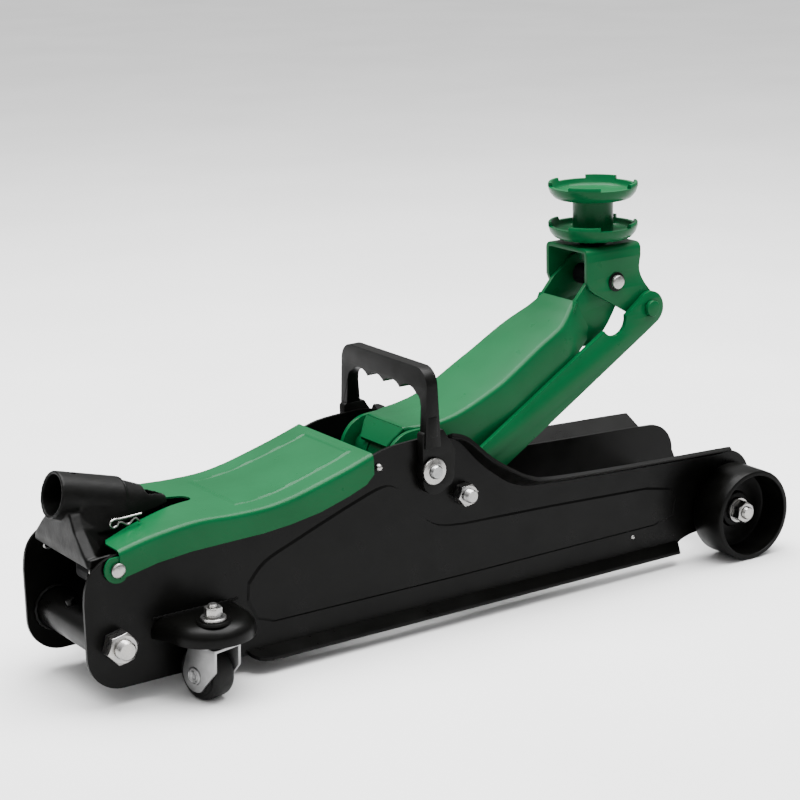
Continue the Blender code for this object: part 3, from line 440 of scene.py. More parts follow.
def hex_nut(name, centre, across_flats, bore, side, inner, outer, turn=0):
    """A hexagon nut on one side, with turned-off corners."""
    near, far = span(side, inner, outer)
    made = slab(name, [hexagon(centre, across_flats, turn)], near, far)
    reach = across_flats / math.sqrt(3)
    length = outer - inner
    slope = reach * 1.02 - across_flats * 0.47
    profile = [(0, length), (across_flats * 0.47, length), (reach * 1.02, length - slope * 0.55),
               (reach * 1.02, 0), (0, 0)]
    rounding = turned(name + "_rounding", profile, point_at(centre, side * inner), out(side), 48)
    made = boolean(made, "INTERSECT", (rounding,))
    hole = rod(name + "_bore", bore, point_at(centre, near - 0.01), point_at(centre, far + 0.01))
    return rounded(cut(made, hole), 0.00025, 1)


def span(side, inner, outer):
    return sorted((side * inner, side * outer))


def point_at(centre, y):
    return (centre[0], y, centre[1])


def on_arm(along, across):
    return turned_about((along, across), ARM_PIVOT, ARM_ANGLE)


def out(side):
    return "Y" if side > 0 else "-Y"


def height_in(points, x):
    for (x0, z0), (x1, z1) in zip(points, points[1:]):
        if x <= x1:
            return z0 + (z1 - z0) * (x - x0) / (x1 - x0)
    return points[-1][1]


ROD_ANCHOR = (ARM_PIVOT[0] + LINK_STEP[0], ARM_PIVOT[1] + LINK_STEP[1])
SADDLE_PIN = on_arm(ARM_LENGTH, 0)
ROD_PIN = (SADDLE_PIN[0] + LINK_STEP[0], SADDLE_PIN[1] + LINK_STEP[1])
CRANK_PIN = (ARM_PIVOT[0] + CRANK_LENGTH * math.cos(CRANK_ANGLE), ARM_PIVOT[1]
             + CRANK_LENGTH * math.sin(CRANK_ANGLE))
FLANGE_EDGE = smooth([(0.3480, 0.1665), (0.3610, 0.1600), (0.3810, 0.1390), (0.3980, 0.1250),
                      (0.4180, 0.1125), (0.4450, 0.1068), (0.5320, 0.1015), (0.6330, 0.0972),
                      (0.6520, 0.0962)], 5)


# Side plates and the pieces fixed to them

def plate_outline():
    rear = arc((0.0300, 0.0460), 0.0310, 270, 180, 14)
    shoulder = smooth([(-0.0010, 0.0900), (0.0010, 0.1040), (0.0070, 0.1155), (0.0180, 0.1235),
                       (0.0300, 0.1268)], 5)
    under_cover = [(x, z - 0.0022) for x, z in COVER_TOP[2:-1]]
    crest = smooth([(0.2689, 0.1622), (0.2870, 0.1670), (0.3160, 0.1690), (0.3350, 0.1690), (0.3480, 0.1665)],
                   4)
    nose = arc((0.6640, 0.0665), 0.0290, 90, 0, 12) + arc((0.6680, 0.0485), 0.0250, 0, -90, 10)
    arch = smooth([(0.6430, 0.0235), (0.6230, 0.0225), (0.6110, 0.0195), (0.6060, 0.0165)], 4)
    return rear + shoulder + under_cover + crest + FLANGE_EDGE[1:] + nose + arch


def top_flange(name, side):
    sections = []
    last = len(FLANGE_EDGE) - 1
    for i, (x, z) in enumerate(FLANGE_EDGE):
        ahead = Vector(FLANGE_EDGE[min(i + 1, last)]) - Vector(FLANGE_EDGE[max(i - 1, 0)])
        up = Vector((-ahead[1], ahead[0])).normalized()
        reach = min(1.0, 0.35 + 0.65 * i / 20)
        root = 0.0539
        wide = (PLATE_OUT + 0.0210 - root) * reach
        rise = 0.0103 * reach
        section = []
        for share, lift in ((0, 0.0001), (0.10, 0.0004), (0.88, rise * 0.93), (1.0, rise - 0.0026),
                            (1.0, rise - 0.0038), (0.96, rise - 0.0044), (0.14, -0.0024), (0, -0.0031)):
            section.append((x + up[0] * lift, side * (root + wide * share), z + up[1] * lift))
        sections.append(section)
    return loft(name, sections)


def bottom_lip(name, side):
    sections = []
    root = 0.0545
    ends = [(0.1430, 0.15), (0.1440, 0.40), (0.1455, 0.60), (0.1480, 0.78), (0.1520, 0.91), (0.1590, 1.0),
            (0.5965, 1.0), (0.6043, 0.30)]
    for x, wide in ends:
        end = (PLATE_OUT + 0.0150 - root) * wide
        drop = 0.0053 * wide
        sections.append([(x, side * root, 0.0198), (x, side * (root + end * 0.96), 0.0198 - drop * 0.97),
                         (x, side * (root + end), 0.0190 - drop), (x, side * (root + end), 0.0176 - drop),
                         (x, side * (root + end * 0.96), 0.0168 - drop), (x, side * root, 0.0163)])
    return loft(name, sections)


def panel(name, side):
    """The raised field pressed into a side plate."""
    edge = smooth([(0.1434, 0.0800), (0.1592, 0.0956), (0.1913, 0.1085), (0.2439, 0.1276), (0.2760, 0.1370),
                   (0.2905, 0.1330), (0.3001, 0.1220), (0.3099, 0.1076), (0.3313, 0.0925), (0.3586, 0.0880)],
                  4)
    edge += [(0.4600, 0.0850), (0.5700, 0.0800), (0.6000, 0.0740), (0.6060, 0.0600), (0.6020, 0.0430),
             (0.5800, 0.0375), (0.3576, 0.0360), (0.1662, 0.0370), (0.1500, 0.0430), (0.1420, 0.0600)]
    near, far = span(side, PLATE_OUT - 0.0010, PLATE_OUT + 0.0009)
    made = slab(name, [edge], near, far)
    for vertex in made.data.vertices:
        if abs(vertex.co.y) > PLATE_OUT:
            vertex.co.x += 0.0042 if vertex.co.x + X_MID < 0.37 else -0.0042
            vertex.co.z += 0.0034 if vertex.co.z < 0.0600 else -0.0038
    return made


def side_plates():
    for word, side in SIDES:
        near, far = span(side, PLATE_IN, PLATE_OUT)
        holes = [circle(REAR_ROD, 0.0085), circle(HINGE, 0.0052, 24), circle(ARM_PIVOT, 0.0100),
                 circle(ROD_ANCHOR, 0.0065), circle(AXLE, 0.0085), circle((0.2760, 0.1520), 0.0024, 16)]
        web = rounded(slab("plate_web", [plate_outline()] + holes, near, far), 0.0006, 2, 60)
        rivet = turned("plate_rivet", [(0, 0.0016), (0.0012, 0.0014), (0.0022, 0.0007), (0.0025, 0),
                                       (0.0025, -0.0010), (0, -0.0010)], (0.5520, side * PLATE_OUT, 0.0330),
                       out(side), 20)
        made = together("plate_" + word, [web, top_flange("flange", side), bottom_lip("lip", side),
                                          panel("panel", side)])
        dressed(made, "chassis", BLACK, "side_plate_" + word, sharp=10)
        dressed(rivet, "chassis", ZINC).name = "plate_rivet_" + word


def rear_crossing():
    tube = turned("cross_tube", [(0.0135, 0.1068), (0.0163, 0.1068), (0.0170, 0.1061), (0.0170, 0.0007),
                                 (0.0163, 0), (0.0135, 0)], (REAR_ROD[0], -0.0534, REAR_ROD[1]), "Y", 56,
                  True)
    foot = Vector((REAR_ROD[0] - 0.0052, 0.0100, REAR_ROD[1] + 0.0148))
    stud = rod("tube_stud", 0.0040, foot, foot + Vector((-0.0021, 0, 0.0060)), 24)
    weld = []
    for i in range(25):
        angle = 2 * math.pi * i / 24
        weld.append((foot.x + 0.0045 * math.cos(angle), foot.y + 0.0045 * math.sin(angle), foot.z + 0.0010
                     + 0.0018 * math.cos(angle)))
    bead = wire("stud_weld", weld, 0.0009, 1, 2)
    rings = []
    for side in (-1, 1):
        ring = []
        for i in range(49):
            angle = 2 * math.pi * i / 48
            reach = 0.0181 + 0.0004 * math.sin(i * 2.2)
            ring.append((REAR_ROD[0] + reach * math.cos(angle), side * (0.0520 - 0.0003 * math.cos(i * 1.7)),
                         REAR_ROD[1] + reach * math.sin(angle)))
        rings.append(wire("tube_weld", ring, 0.0019, 1, 2))
    dressed(together("rear_tube", [tube, rounded(stud, 0.0006), bead] + rings), "chassis", BLACK,
            "rear_cross_tube")
    ends = thread(0.0080, 0.0757, 0.0580)
    half = [(0, 0.0765), (0.0066, 0.0765)] + ends
    dressed(turned("rear_rod", both_ends(half), point_at(REAR_ROD, 0), "Y", 36), "chassis", ZINC,
            "rear_axle_rod", sharp=25)
    for word, side in SIDES:
        nut = hex_nut("rear_hex_" + word, REAR_ROD, 0.0240, 0.0081, side, PLATE_OUT + GAP, 0.0700, 12)
        dressed(nut, "chassis", ZINC, "rear_nut_" + word, sharp=25)


def front_wheels():
    inner = WHEEL_FACE - 0.0235
    tip = [(0, 0.0910), (0.0050, 0.0910)] + thread(0.0060, 0.0902, inner + 0.0004) + [(0.0080, inner)]
    dressed(turned("front_rod", both_ends(tip), point_at(AXLE, 0), "Y", 36), "chassis", ZINC, "front_axle",
            sharp=25)
    cup = [(0.0376, -0.0006), (0.0381, 0.0), (0.0402, 0.0), (0.0418, -0.0005), (0.0426, -0.0018),
           (0.0426, -0.0190), (0.0426, -0.0352), (0.0420, -0.0366), (0.0401, -WHEEL_WIDTH),
           (0.0360, -WHEEL_WIDTH), (0.0340, -0.0300), (0.0180, -0.0300), (0.0165, -WHEEL_WIDTH),
           (0.0084, -WHEEL_WIDTH), (0.0084, -0.0235), (0.0150, -0.0235), (0.0162, -0.0239), (0.0168, -0.0262),
           (0.0175, -0.0272), (0.0250, -0.0277), (0.0335, -0.0275), (0.0352, -0.0266), (0.0360, -0.0248)]
    for word, side in SIDES:
        wheel = turned("wheel", cup, point_at(AXLE, side * WHEEL_FACE), out(side), 96, True)
        ribs = []
        for i in range(8):
            angle = 2 * math.pi * (i + 0.5) / 8
            r0, r1 = 0.0165, 0.0350
            a = (AXLE[0] + r0 * math.cos(angle), side * (WHEEL_FACE - 0.0345), AXLE[1] + r0 * math.sin(angle))
            b = (AXLE[0] + r1 * math.cos(angle), side * (WHEEL_FACE - 0.0345), AXLE[1] + r1 * math.sin(angle))
            ribs.append(rod("rib", 0.0024, a, b, 12))
        dressed(together("wheel_" + word, [wheel] + ribs), "front_wheel_" + word, WHEEL,
                "front_wheel_" + word, sharp=35)
        washer = turned("hub_washer_" + word, [(0.0064, 0.0025), (0.0115, 0.0025), (0.0120, 0.0019),
                                               (0.0120, 0.0), (0.0064, 0.0)],
                        point_at(AXLE, side * (inner + 2 * GAP)), out(side), 48, True)
        dressed(washer, "chassis", ZINC, "front_washer_" + word)
        nut = hex_nut("hub_hex_" + word, AXLE, 0.0180, 0.0061, side, inner + 0.0034, inner + 0.0134, 25)
        dressed(nut, "chassis", ZINC, "front_nut_" + word, sharp=25)


# Casters

def dome_loop(radius, z, side, back, steps=36):
    loop = [(DOME_CENTRE[0] + radius + 0.0010, side * back, z)]
    for x, y in arc(DOME_CENTRE, radius, 0, 180, steps):
        loop.append((x, side * y, z))
    loop.append((DOME_CENTRE[0] - radius - 0.0085, side * back, z))
    return loop


def to_swivel(obj, side):
    turn = Matrix.Rotation(side * -TRAIL_ANGLE, 4, "Z")
    place = Matrix.Translation((SWIVEL[0] - X_MID, side * SWIVEL[1], 0))
    obj.data.transform(place @ turn @ Matrix.Translation((X_MID, 0, 0)))
    return obj


def casters():
    for word, side in SIDES:
        sx, sy = SWIVEL[0], side * SWIVEL[1]
        rim = [(DOME_R, 0.0505), (DOME_R, 0.0560)]
        rim += [(DOME_R - 0.0150 + 0.0150 * math.cos(a), 0.0560 + 0.0110 * math.sin(a))
                for a in (math.pi / 2 * k / 8 for k in range(1, 9))]
        shell = loft("dome", [dome_loop(r, z, side, PLATE_OUT + GAP) for r, z in rim])
        inside = loft("dome_inside", [
            dome_loop(r, z, side, PLATE_OUT - 0.0030)
            for r, z in ((DOME_R - 0.0030, 0.0480), (DOME_R - 0.0030, 0.0560), (DOME_R - 0.0090, 0.0610),
                         (DOME_R - 0.0160, 0.0636))])
        shell = rounded(cut(shell, inside), 0.0005, 2, 50)
        boss = turned("boss", [(0.0046, 0.0685), (0.0135, 0.0685), (0.0140, 0.0680), (0.0146, 0.0664),
                               (0.0046, 0.0664)], (sx, sy, 0), "Z", 48, True)
        seam = []
        for i in range(41):
            x = DOME_CENTRE[0] - DOME_R - 0.0060 + (2 * DOME_R + 0.0060) * i / 40
            seam.append((x, side * (PLATE_OUT + 0.0004), 0.0668 + 0.0004 * math.sin(i * 2.4)))
        weld = wire("dome_weld", seam, 0.0010, 1, 2)
        dressed(together("dome_" + word, [shell, boss, weld]), "chassis", BLACK, "caster_bracket_" + word)
        stud = thread(0.0040, 0.0812, 0.0735)
        bolt = turned("bolt", [(0, 0.0815), (0.0034, 0.0815)] + stud + [
            (0.0065, 0.0728), (0.0065, 0.0712), (0.0101, 0.0712), (0.0105, 0.0708), (0.0105, 0.0688),
            (0.0041, 0.0688), (0.0041, 0.0637), (0.0110, 0.0637), (0.0110, 0.0606), (0.0050, 0.0606),
            (0.0050, 0.0462), (0, 0.0462)], (sx, sy, 0), "Z", 36)
        nut = plan_slab("caster_hex", [hexagon((sx, sy), 0.0130, 20), circle((sx, sy), 0.0041, 32)], 0.0728,
                        0.0790)
        dressed(together("swivel_bolt_" + word, [bolt, rounded(nut, 0.0005, 2, 30)]), "chassis", ZINC,
                "caster_bolt_" + word, sharp=25)
        caster_fork(word, side)


def caster_fork(word, side):
    axle = (TRAIL, CASTER_R)
    top = 0.0490
    plate = plan_slab("fork_top",
                      [[(-0.0150, -0.0140), (0.0150, -0.0140), (0.0160, -0.0130), (0.0160, 0.0130),
                        (0.0150, 0.0140), (-0.0150, 0.0140), (-0.0160, 0.0130), (-0.0160, -0.0130)],
                       circle((0, 0), 0.0056, 32)], top - 0.0025, top)
    cup = turned("fork_cup", [(0.0056, 0.0592), (0.0118, 0.0592), (0.0138, 0.0586), (0.0150, 0.0562),
                              (0.0152, 0.0510), (0.0160, 0.0492), (0.0160, 0.0480), (0.0056, 0.0480)],
                 (0, 0, 0), "Z", 48, True)
    leg = [(-0.0155, top - 0.0008), (0.0150, top - 0.0008)]
    leg += arc(axle, 0.0140, 20, -120, 18) + [(-0.0145, 0.0300)]
    legs = [rounded(slab("fork_leg", [leg], *sorted((n * 0.0115, n * 0.0140))), 0.0005, 2, 50)
            for n in (-1, 1)]
    head = [(0, 0.0154), (0.0020, 0.0153), (0.0026, 0.0158), (0.0042, 0.0158), (0.0048, 0.0150),
            (0.0056, 0.0150), (0.0060, 0.0156), (0.0070, 0.0153), (0.0075, 0.0145), (0.0075, 0.0137)]
    rivet = turned("fork_rivet", both_ends(head + [(0.0040, 0.0137)]), point_at(axle, 0), "Y", 36)
    pieces = [to_swivel(piece, side) for piece in [rounded(plate, 0.0005, 2, 50), cup] + legs + [rivet]]
    dressed(together("fork_" + word, pieces), "fork_" + word, FORK, "caster_fork_" + word)
    half = [(0.0044, 0.0105), (0.0140, 0.0105), (0.0150, 0.0098), (0.0170, 0.0098), (0.0178, 0.0105),
            (0.0190, 0.0105), (0.0208, 0.0098), (0.0217, 0.0082), (CASTER_R, 0.0058), (CASTER_R, 0)]
    tread = half + [(r, -h) for r, h in reversed(half[:-1])]
    wheel = turned("caster_tyre_" + word, tread, point_at(axle, 0), "Y", 64, True)
    dressed(to_swivel(wheel, side), "caster_wheel_" + word, RUBBER, "caster_wheel_" + word, sharp=50)


# Cover

def relief(x, y):
    """Height of the cover's pressed field above the plain sheet, with a ridge round its edge."""
    half = 0.0390 - 0.0040 * (x - 0.1480) / 0.1100
    inside = min(x - 0.1480, half - abs(y), 0.2610 - x)
    if inside < -0.0025:
        return 0.0
    ridge = 0.0010 * max(0.0, 1 - abs(inside) / 0.0021)
    return 0.0002 * min(1.0, (inside + 0.0025) / 0.0025) + ridge


def cover():
    lower = [(0.0170, 0.1040), (0.0360, 0.1085), (0.0630, 0.1140), (0.0940, 0.1170), (0.1330, 0.1180),
             (0.1600, 0.1185), (0.1870, 0.1210), (0.2150, 0.1255), (0.2440, 0.1340), (0.2610, 0.1405),
             (0.2689, 0.1480)]
    top = smooth(COVER_TOP[1:], 8)
    fine = []
    for (x0, z0), (x1, z1) in zip(top, top[1:]):
        count = max(1, int((x1 - x0) / 0.0010))
        fine += [(x0 + (x1 - x0) * k / count, z0 + (z1 - z0) * k / count) for k in range(count)]
    fine.append(top[-1])
    bend = 0.0030
    across = [0.0060 * k for k in range(6)] + [0.0010 * k for k in range(31, 54)] + [COVER_OUT - bend]
    flat_part = [y for y in sorted({-v for v in across} | set(across)) if abs(y) < COVER_OUT - bend]
    work = bmesh.new()
    rows = []
    for x, z in fine:
        row = []
        low = min(height_in(lower, x), z - bend - 0.001)
        edge = [(-COVER_OUT, low + (z - bend - low) * k / 5) for k in range(5)]
        edge += arc((-COVER_OUT + bend, z - bend), bend, 180, 90, 5)
        middle = [(y, z + relief(x, y)) for y in flat_part]
        for y, h in edge + middle + [(-y, h) for y, h in reversed(edge)]:
            row.append(work.verts.new((x, y, h)))
        rows.append(row)
    for a, b in zip(rows, rows[1:]):
        for i in range(len(a) - 1):
            work.faces.new((a[i], b[i], b[i + 1], a[i + 1]))
    skin = meshed("cover_skin", work)
    faces = skin.data.polygons
    thick = skin.modifiers.new("sheet", "SOLIDIFY")
    thick.thickness = 0.0015
    thick.offset = -1.0 if faces[len(faces) // 2].normal.z > 0 else 1.0
    skin = baked(skin)
    half = [(0.1180, 0.0082), (0.0330, 0.0312), (0.0195, 0.0575), (-0.0200, 0.0575)]
    notch = arc((0.1180, 0), 0.0080, -80, 80, 12) + half + [(x, -y) for x, y in reversed(half)]
    skin = cut(skin, plan_slab("notch", [notch], 0.1000, 0.2000))
    ears = []
    for _, side in SIDES:
        tab = arc((HINGE[0] + 0.0003, HINGE[1] + 0.0005), 0.0115, 300, 120, 24)
        tab += [(0.0330, 0.1255), (0.0400, 0.1150)]
        ears.append(slab("ear", [tab, circle(HINGE, 0.0052, 32)],
                         *span(side, COVER_OUT - 0.0016, COVER_OUT + 0.00004)))
        dent = [(0, 0.0001), (0.0011, 0.0002), (0.0018, 0.0006), (0.0023, 0.0006), (0.0027, 0.0001),
                (0.0027, -0.0005), (0, -0.0005)]
        ears.append(turned("dent", dent, (0.1665, side * COVER_OUT, 0.1266), out(side), 32))
    dressed(together("jack_cover", [skin] + ears), "chassis", GREEN, "cover", sharp=35)
    for word, side in SIDES:
        head = [(0, 0.0036), (0.0012, 0.0035), (0.0024, 0.0028), (0.0032, 0.0016), (0.0035, 0.0),
                (0.0019, 0.0), (0.0019, -0.0070), (0, -0.0070)]
        screw = turned("dome_screw_" + word, head, (0.2760, side * (PLATE_OUT + GAP), 0.1520), out(side), 32)
        dressed(screw, "chassis", ZINC, "cover_screw_" + word)


# Carry handle

def carry_handle():
    grip = []
    for i in range(4):
        middle = 0.0375 - 0.0250 * i
        grip += arc((middle, 0.1950), 0.0178, 45, 135, 10)
    left = [(0.0665, 0.1620)] + arc((0.0505, 0.2150), 0.0160, 0, 90, 12)
    right = arc((-0.0505, 0.2150), 0.0160, 90, 180, 12) + [(-0.0665, 0.1620)]
    inner_right = [(-0.0575, 0.1620), (-0.0570, 0.1980), (-0.0558, 0.2030), (-0.0535, 0.2062)]
    inner_left = [(-y, z) for y, z in reversed(inner_right)]
    outline = left + right + inner_right + list(reversed(grip)) + inner_left
    bail = flat("bail", [outline], -0.0055, 0.0055)
    bail.rotation_euler = (math.pi / 2, 0, math.pi / 2)
    bail.location = (BAIL_X, 0, 0)
    bail = baked(bail)
    for vertex in bail.data.vertices:
        widen = min(1.0, max(0.0, (0.1850 - vertex.co.z) / 0.0230))
        vertex.co.x += (vertex.co.x + X_MID - BAIL_X) * 0.45 * widen
    pieces = [rounded(bail, 0.0022, 4, 50)]
    for _, side in SIDES:
        near, far = span(side, PLATE_OUT + GAP, 0.0652)
        foot = [(0.3155, 0.1740), (0.3155, 0.1330)] + arc((0.3285, 0.1330), 0.0130, 180, 290, 12)
        foot += [(0.3450, 0.1270), (0.3478, 0.1330), (0.3490, 0.1560), (0.3440, 0.1650), (0.3370, 0.1760),
                 (0.3175, 0.1760)]
        plate = slab("foot", [foot, circle(ARM_PIVOT, 0.0118)], near, far)
        pieces.append(rounded(plate, 0.0014, 3, 50))
        gusset = [(0.3205, 0.1700), (0.3305, 0.1700), (0.3305, 0.1900), (0.3205, 0.1900)]
        pieces.append(rounded(slab("gusset", [gusset], *span(side, 0.0590, 0.0668)), 0.0016, 3, 50))
    dressed(together("bail_handle", pieces), "chassis", GRIP, "carry_handle", sharp=45)


# Lift arm and linkage

def arm_section(along, points):
    """The (y, height) points at one station of the arm, put in place."""
    section = []
    for y, across in points:
        x, z = on_arm(along, across)
        section.append((x, y, z))
    return section


def channel_section(along, top, half, foot):
    """The rounded U of the arm's sheet at one station."""
    bend = 0.0045
    thick = 0.0035
    lean = 0.0020 * min(1.0, max(0.0, (-foot - 0.0225) / 0.0100))
    outer = [(half - lean, foot), (half, foot + 0.0100)] + arc((half - bend, top - bend), bend, 0, 90, 5)
    inner_bend = 0.0015
    half, top = half - thick, top - thick
    inner = [(half - lean, foot), (half, foot + 0.0100)]
    inner += arc((half - inner_bend, top - inner_bend), inner_bend, 0, 90, 3)
    return arm_section(along, both_sides(outer) + list(reversed(both_sides(inner))))


def arm_web(name):
    stations = [(0.0105, 0.0290, 0.0294), (0.0140, 0.0282, 0.0312), (0.0200, 0.0250, 0.0340),
                (0.0300, 0.0204, 0.0370), (0.0400, 0.0160, 0.0380), (0.0500, 0.0125, 0.0382),
                (0.0600, 0.0097, 0.0383), (0.0750, 0.0072, 0.0388), (0.0900, 0.0060, 0.0400),
                (0.1050, 0.0053, 0.0410), (0.1200, 0.0053, 0.0404), (0.1350, 0.0054, 0.0394),
                (0.1500, 0.0058, 0.0386), (0.1650, 0.0061, 0.0378), (0.1800, 0.0057, 0.0370),
                (0.1900, 0.0056, 0.0350), (0.2000, 0.0065, 0.0310), (0.2100, 0.0085, 0.0270),
                (0.2170, 0.0094, 0.0256)]
    sections = []
    for along, top, half in smooth(stations, 4):
        foot = -0.0325
        if along < 0.045:
            foot = -0.0080 - 0.6333 * (along - 0.010)
        if along > 0.185:
            foot = -0.0325 + 0.35 * min(0.010, along - 0.185)
        sections.append(channel_section(along, top, half, foot))
    return loft(name, sections)


def lift_arm():
    web = arm_web("web")
    nose = arc((ARM_LENGTH, 0), 0.0195, -105, 118, 30)
    cheek = [(0.2010, -0.0300), (0.2070, -0.0340), (0.2120, -0.0355), (0.2240, -0.0355), (0.2380, -0.0300),
             (0.2480, -0.0245)] + nose + [(0.2350, 0.0160), (0.2240, 0.0122), (0.2130, 0.0082),
                                          (0.2020, 0.0012)]
    rear = arc((0, 0), 0.0290, 62, 300, 36) + [(0.0450, -0.0240), (0.0450, 0.0100)]
    turn = math.degrees(CRANK_ANGLE)
    crank = arc(ARM_PIVOT, 0.0175, turn + 90, turn + 270, 16)
    crank += arc(CRANK_PIN, 0.0110, turn - 90, turn + 90, 12)
    tail = []
    for along, top, half in ((0.0100, 0.0291, 0.0292), (0.0040, 0.0272, 0.0272), (-0.0020, 0.0246, 0.0240),
                             (-0.0084, 0.0212, 0.0210)):
        tail.append(arm_section(along, [(half, top - 0.0008), (half - 0.0008, top), (-half + 0.0008, top),
                                        (-half, top - 0.0008), (-half, top - 0.0035), (half, top - 0.0035)]))
    pieces = [web, loft("tail", tail)]
    for _, side in SIDES:
        hole = circle(SADDLE_PIN, 0.0070)
        pieces.append(rounded(slab("cheek", [[on_arm(*p) for p in cheek], hole],
                                   *span(side, 0.0215, CHEEK_OUT)), 0.0006))
        hole = circle(ARM_PIVOT, 0.0102)
        pieces.append(rounded(slab("rear", [[on_arm(*p) for p in rear], hole], *span(side, 0.0328, 0.0371)),
                              0.0007))
        pieces.append(rounded(slab("crank", [crank, hole, circle(CRANK_PIN, 0.0064)],
                                   *span(side, 0.0125, 0.0175)), 0.0006))
        bead = []
        for i in range(31):
            x, z = on_arm(0.2035 + 0.0135 * i / 30, -0.0005 + 0.0095 * i / 30)
            bead.append((x, side * (0.0262 + 0.0002 * math.sin(i * 2.1)), z))
        pieces.append(wire("cheek_weld", bead, 0.0016, 1, 2))
    boss = turned("boss", [(0.0102, 0.0690), (0.0153, 0.0690), (0.0160, 0.0683), (0.0160, 0.0007),
                           (0.0153, 0), (0.0102, 0)], point_at(ARM_PIVOT, -0.0345), "Y", 56, True)
    dressed(together("jack_arm", pieces + [boss]), "arm", GREEN, "lift_arm", sharp=35)
    end = [(0, 0.0725), (0.0050, 0.0725)] + thread(0.0060, 0.0717, 0.0686)
    end += [(0.0060, 0.0660), (0.0090, 0.0660), (0.0095, 0.0655)]
    shaft = turned("pivot_shaft", both_ends(end), point_at(ARM_PIVOT, 0), "Y", 48)
    dressed(shaft, "chassis", STEEL, "arm_shaft")
    end = [(0, 0.0200), (0.0053, 0.0200), (0.0060, 0.0193)]
    pin = turned("crank_cross", both_ends(end), point_at(CRANK_PIN, 0), "Y", 36)
    dressed(pin, "arm", STEEL, "crank_pin")
    for word, side in SIDES:
        collar = turned("pivot_collar_" + word, [(0.0064, 0.0026), (0.0072, 0.0026), (0.0080, 0.0021),
                                                 (0.0106, 0.0021), (0.0113, 0.0018), (0.0116, 0.0012),
                                                 (0.0116, 0.0), (0.0064, 0.0)],
                        point_at(ARM_PIVOT, side * 0.0664), out(side), 48, True)
        dressed(collar, "chassis", ZINC, "arm_shaft_collar_" + word)


def splay(obj, side):
    slope = (ROD_AT_ANCHOR - ROD_AT_PIN) / ARM_LENGTH
    for vertex in obj.data.vertices:
        ahead = vertex.co.x - ROD_ANCHOR[0] + X_MID
        up = vertex.co.z - ROD_ANCHOR[1]
        along = ahead * math.cos(ARM_ANGLE) + up * math.sin(ARM_ANGLE)
        vertex.co.y -= side * slope * along
    return obj


def radius_rods():
    length = ARM_LENGTH
    notch = arc((length - 0.0411, 0.0176), 0.0145, 186, 340, 24)
    end = arc((length, 0), 0.0155, 110, -90, 24)
    body = notch + [(length - 0.0180, 0.0135)] + end + [(length - 0.0200, -0.0158)]
    body += arc((0, 0), 0.0158, 270, 90, 24)
    outline = [turned_about(p, ROD_ANCHOR, ARM_ANGLE) for p in body]
    for word, side in SIDES:
        holes = [circle(ROD_ANCHOR, 0.0067), circle(ROD_PIN, 0.0069)]
        bar = slab("side_rod_" + word, [outline] + holes,
                   *span(side, ROD_AT_ANCHOR - ROD_T / 2, ROD_AT_ANCHOR + ROD_T / 2))
        dressed(splay(rounded(bar, 0.0008, 2, 50), side), "rod_" + word, GREEN, "radius_rod_" + word)
        tip = [(0, 0.0725), (0.0050, 0.0725)] + thread(0.0060, 0.0717, 0.0560)
        bolt = turned("anchor_stud_" + word, tip + [(0.0060, 0.0447), (0.0093, 0.0447), (0.0100, 0.0441),
                                                    (0.0100, 0.0425), (0.0090, 0.0415), (0, 0.0415)],
                      point_at(ROD_ANCHOR, 0), out(side), 36)
        dressed(bolt, "chassis", ZINC, "anchor_bolt_" + word, sharp=25)
        nut = hex_nut("anchor_hex_" + word, ROD_ANCHOR, 0.0180, 0.0061, side, PLATE_OUT + GAP, 0.0670, 8)
        dressed(nut, "chassis", ZINC, "anchor_nut_" + word, sharp=25)


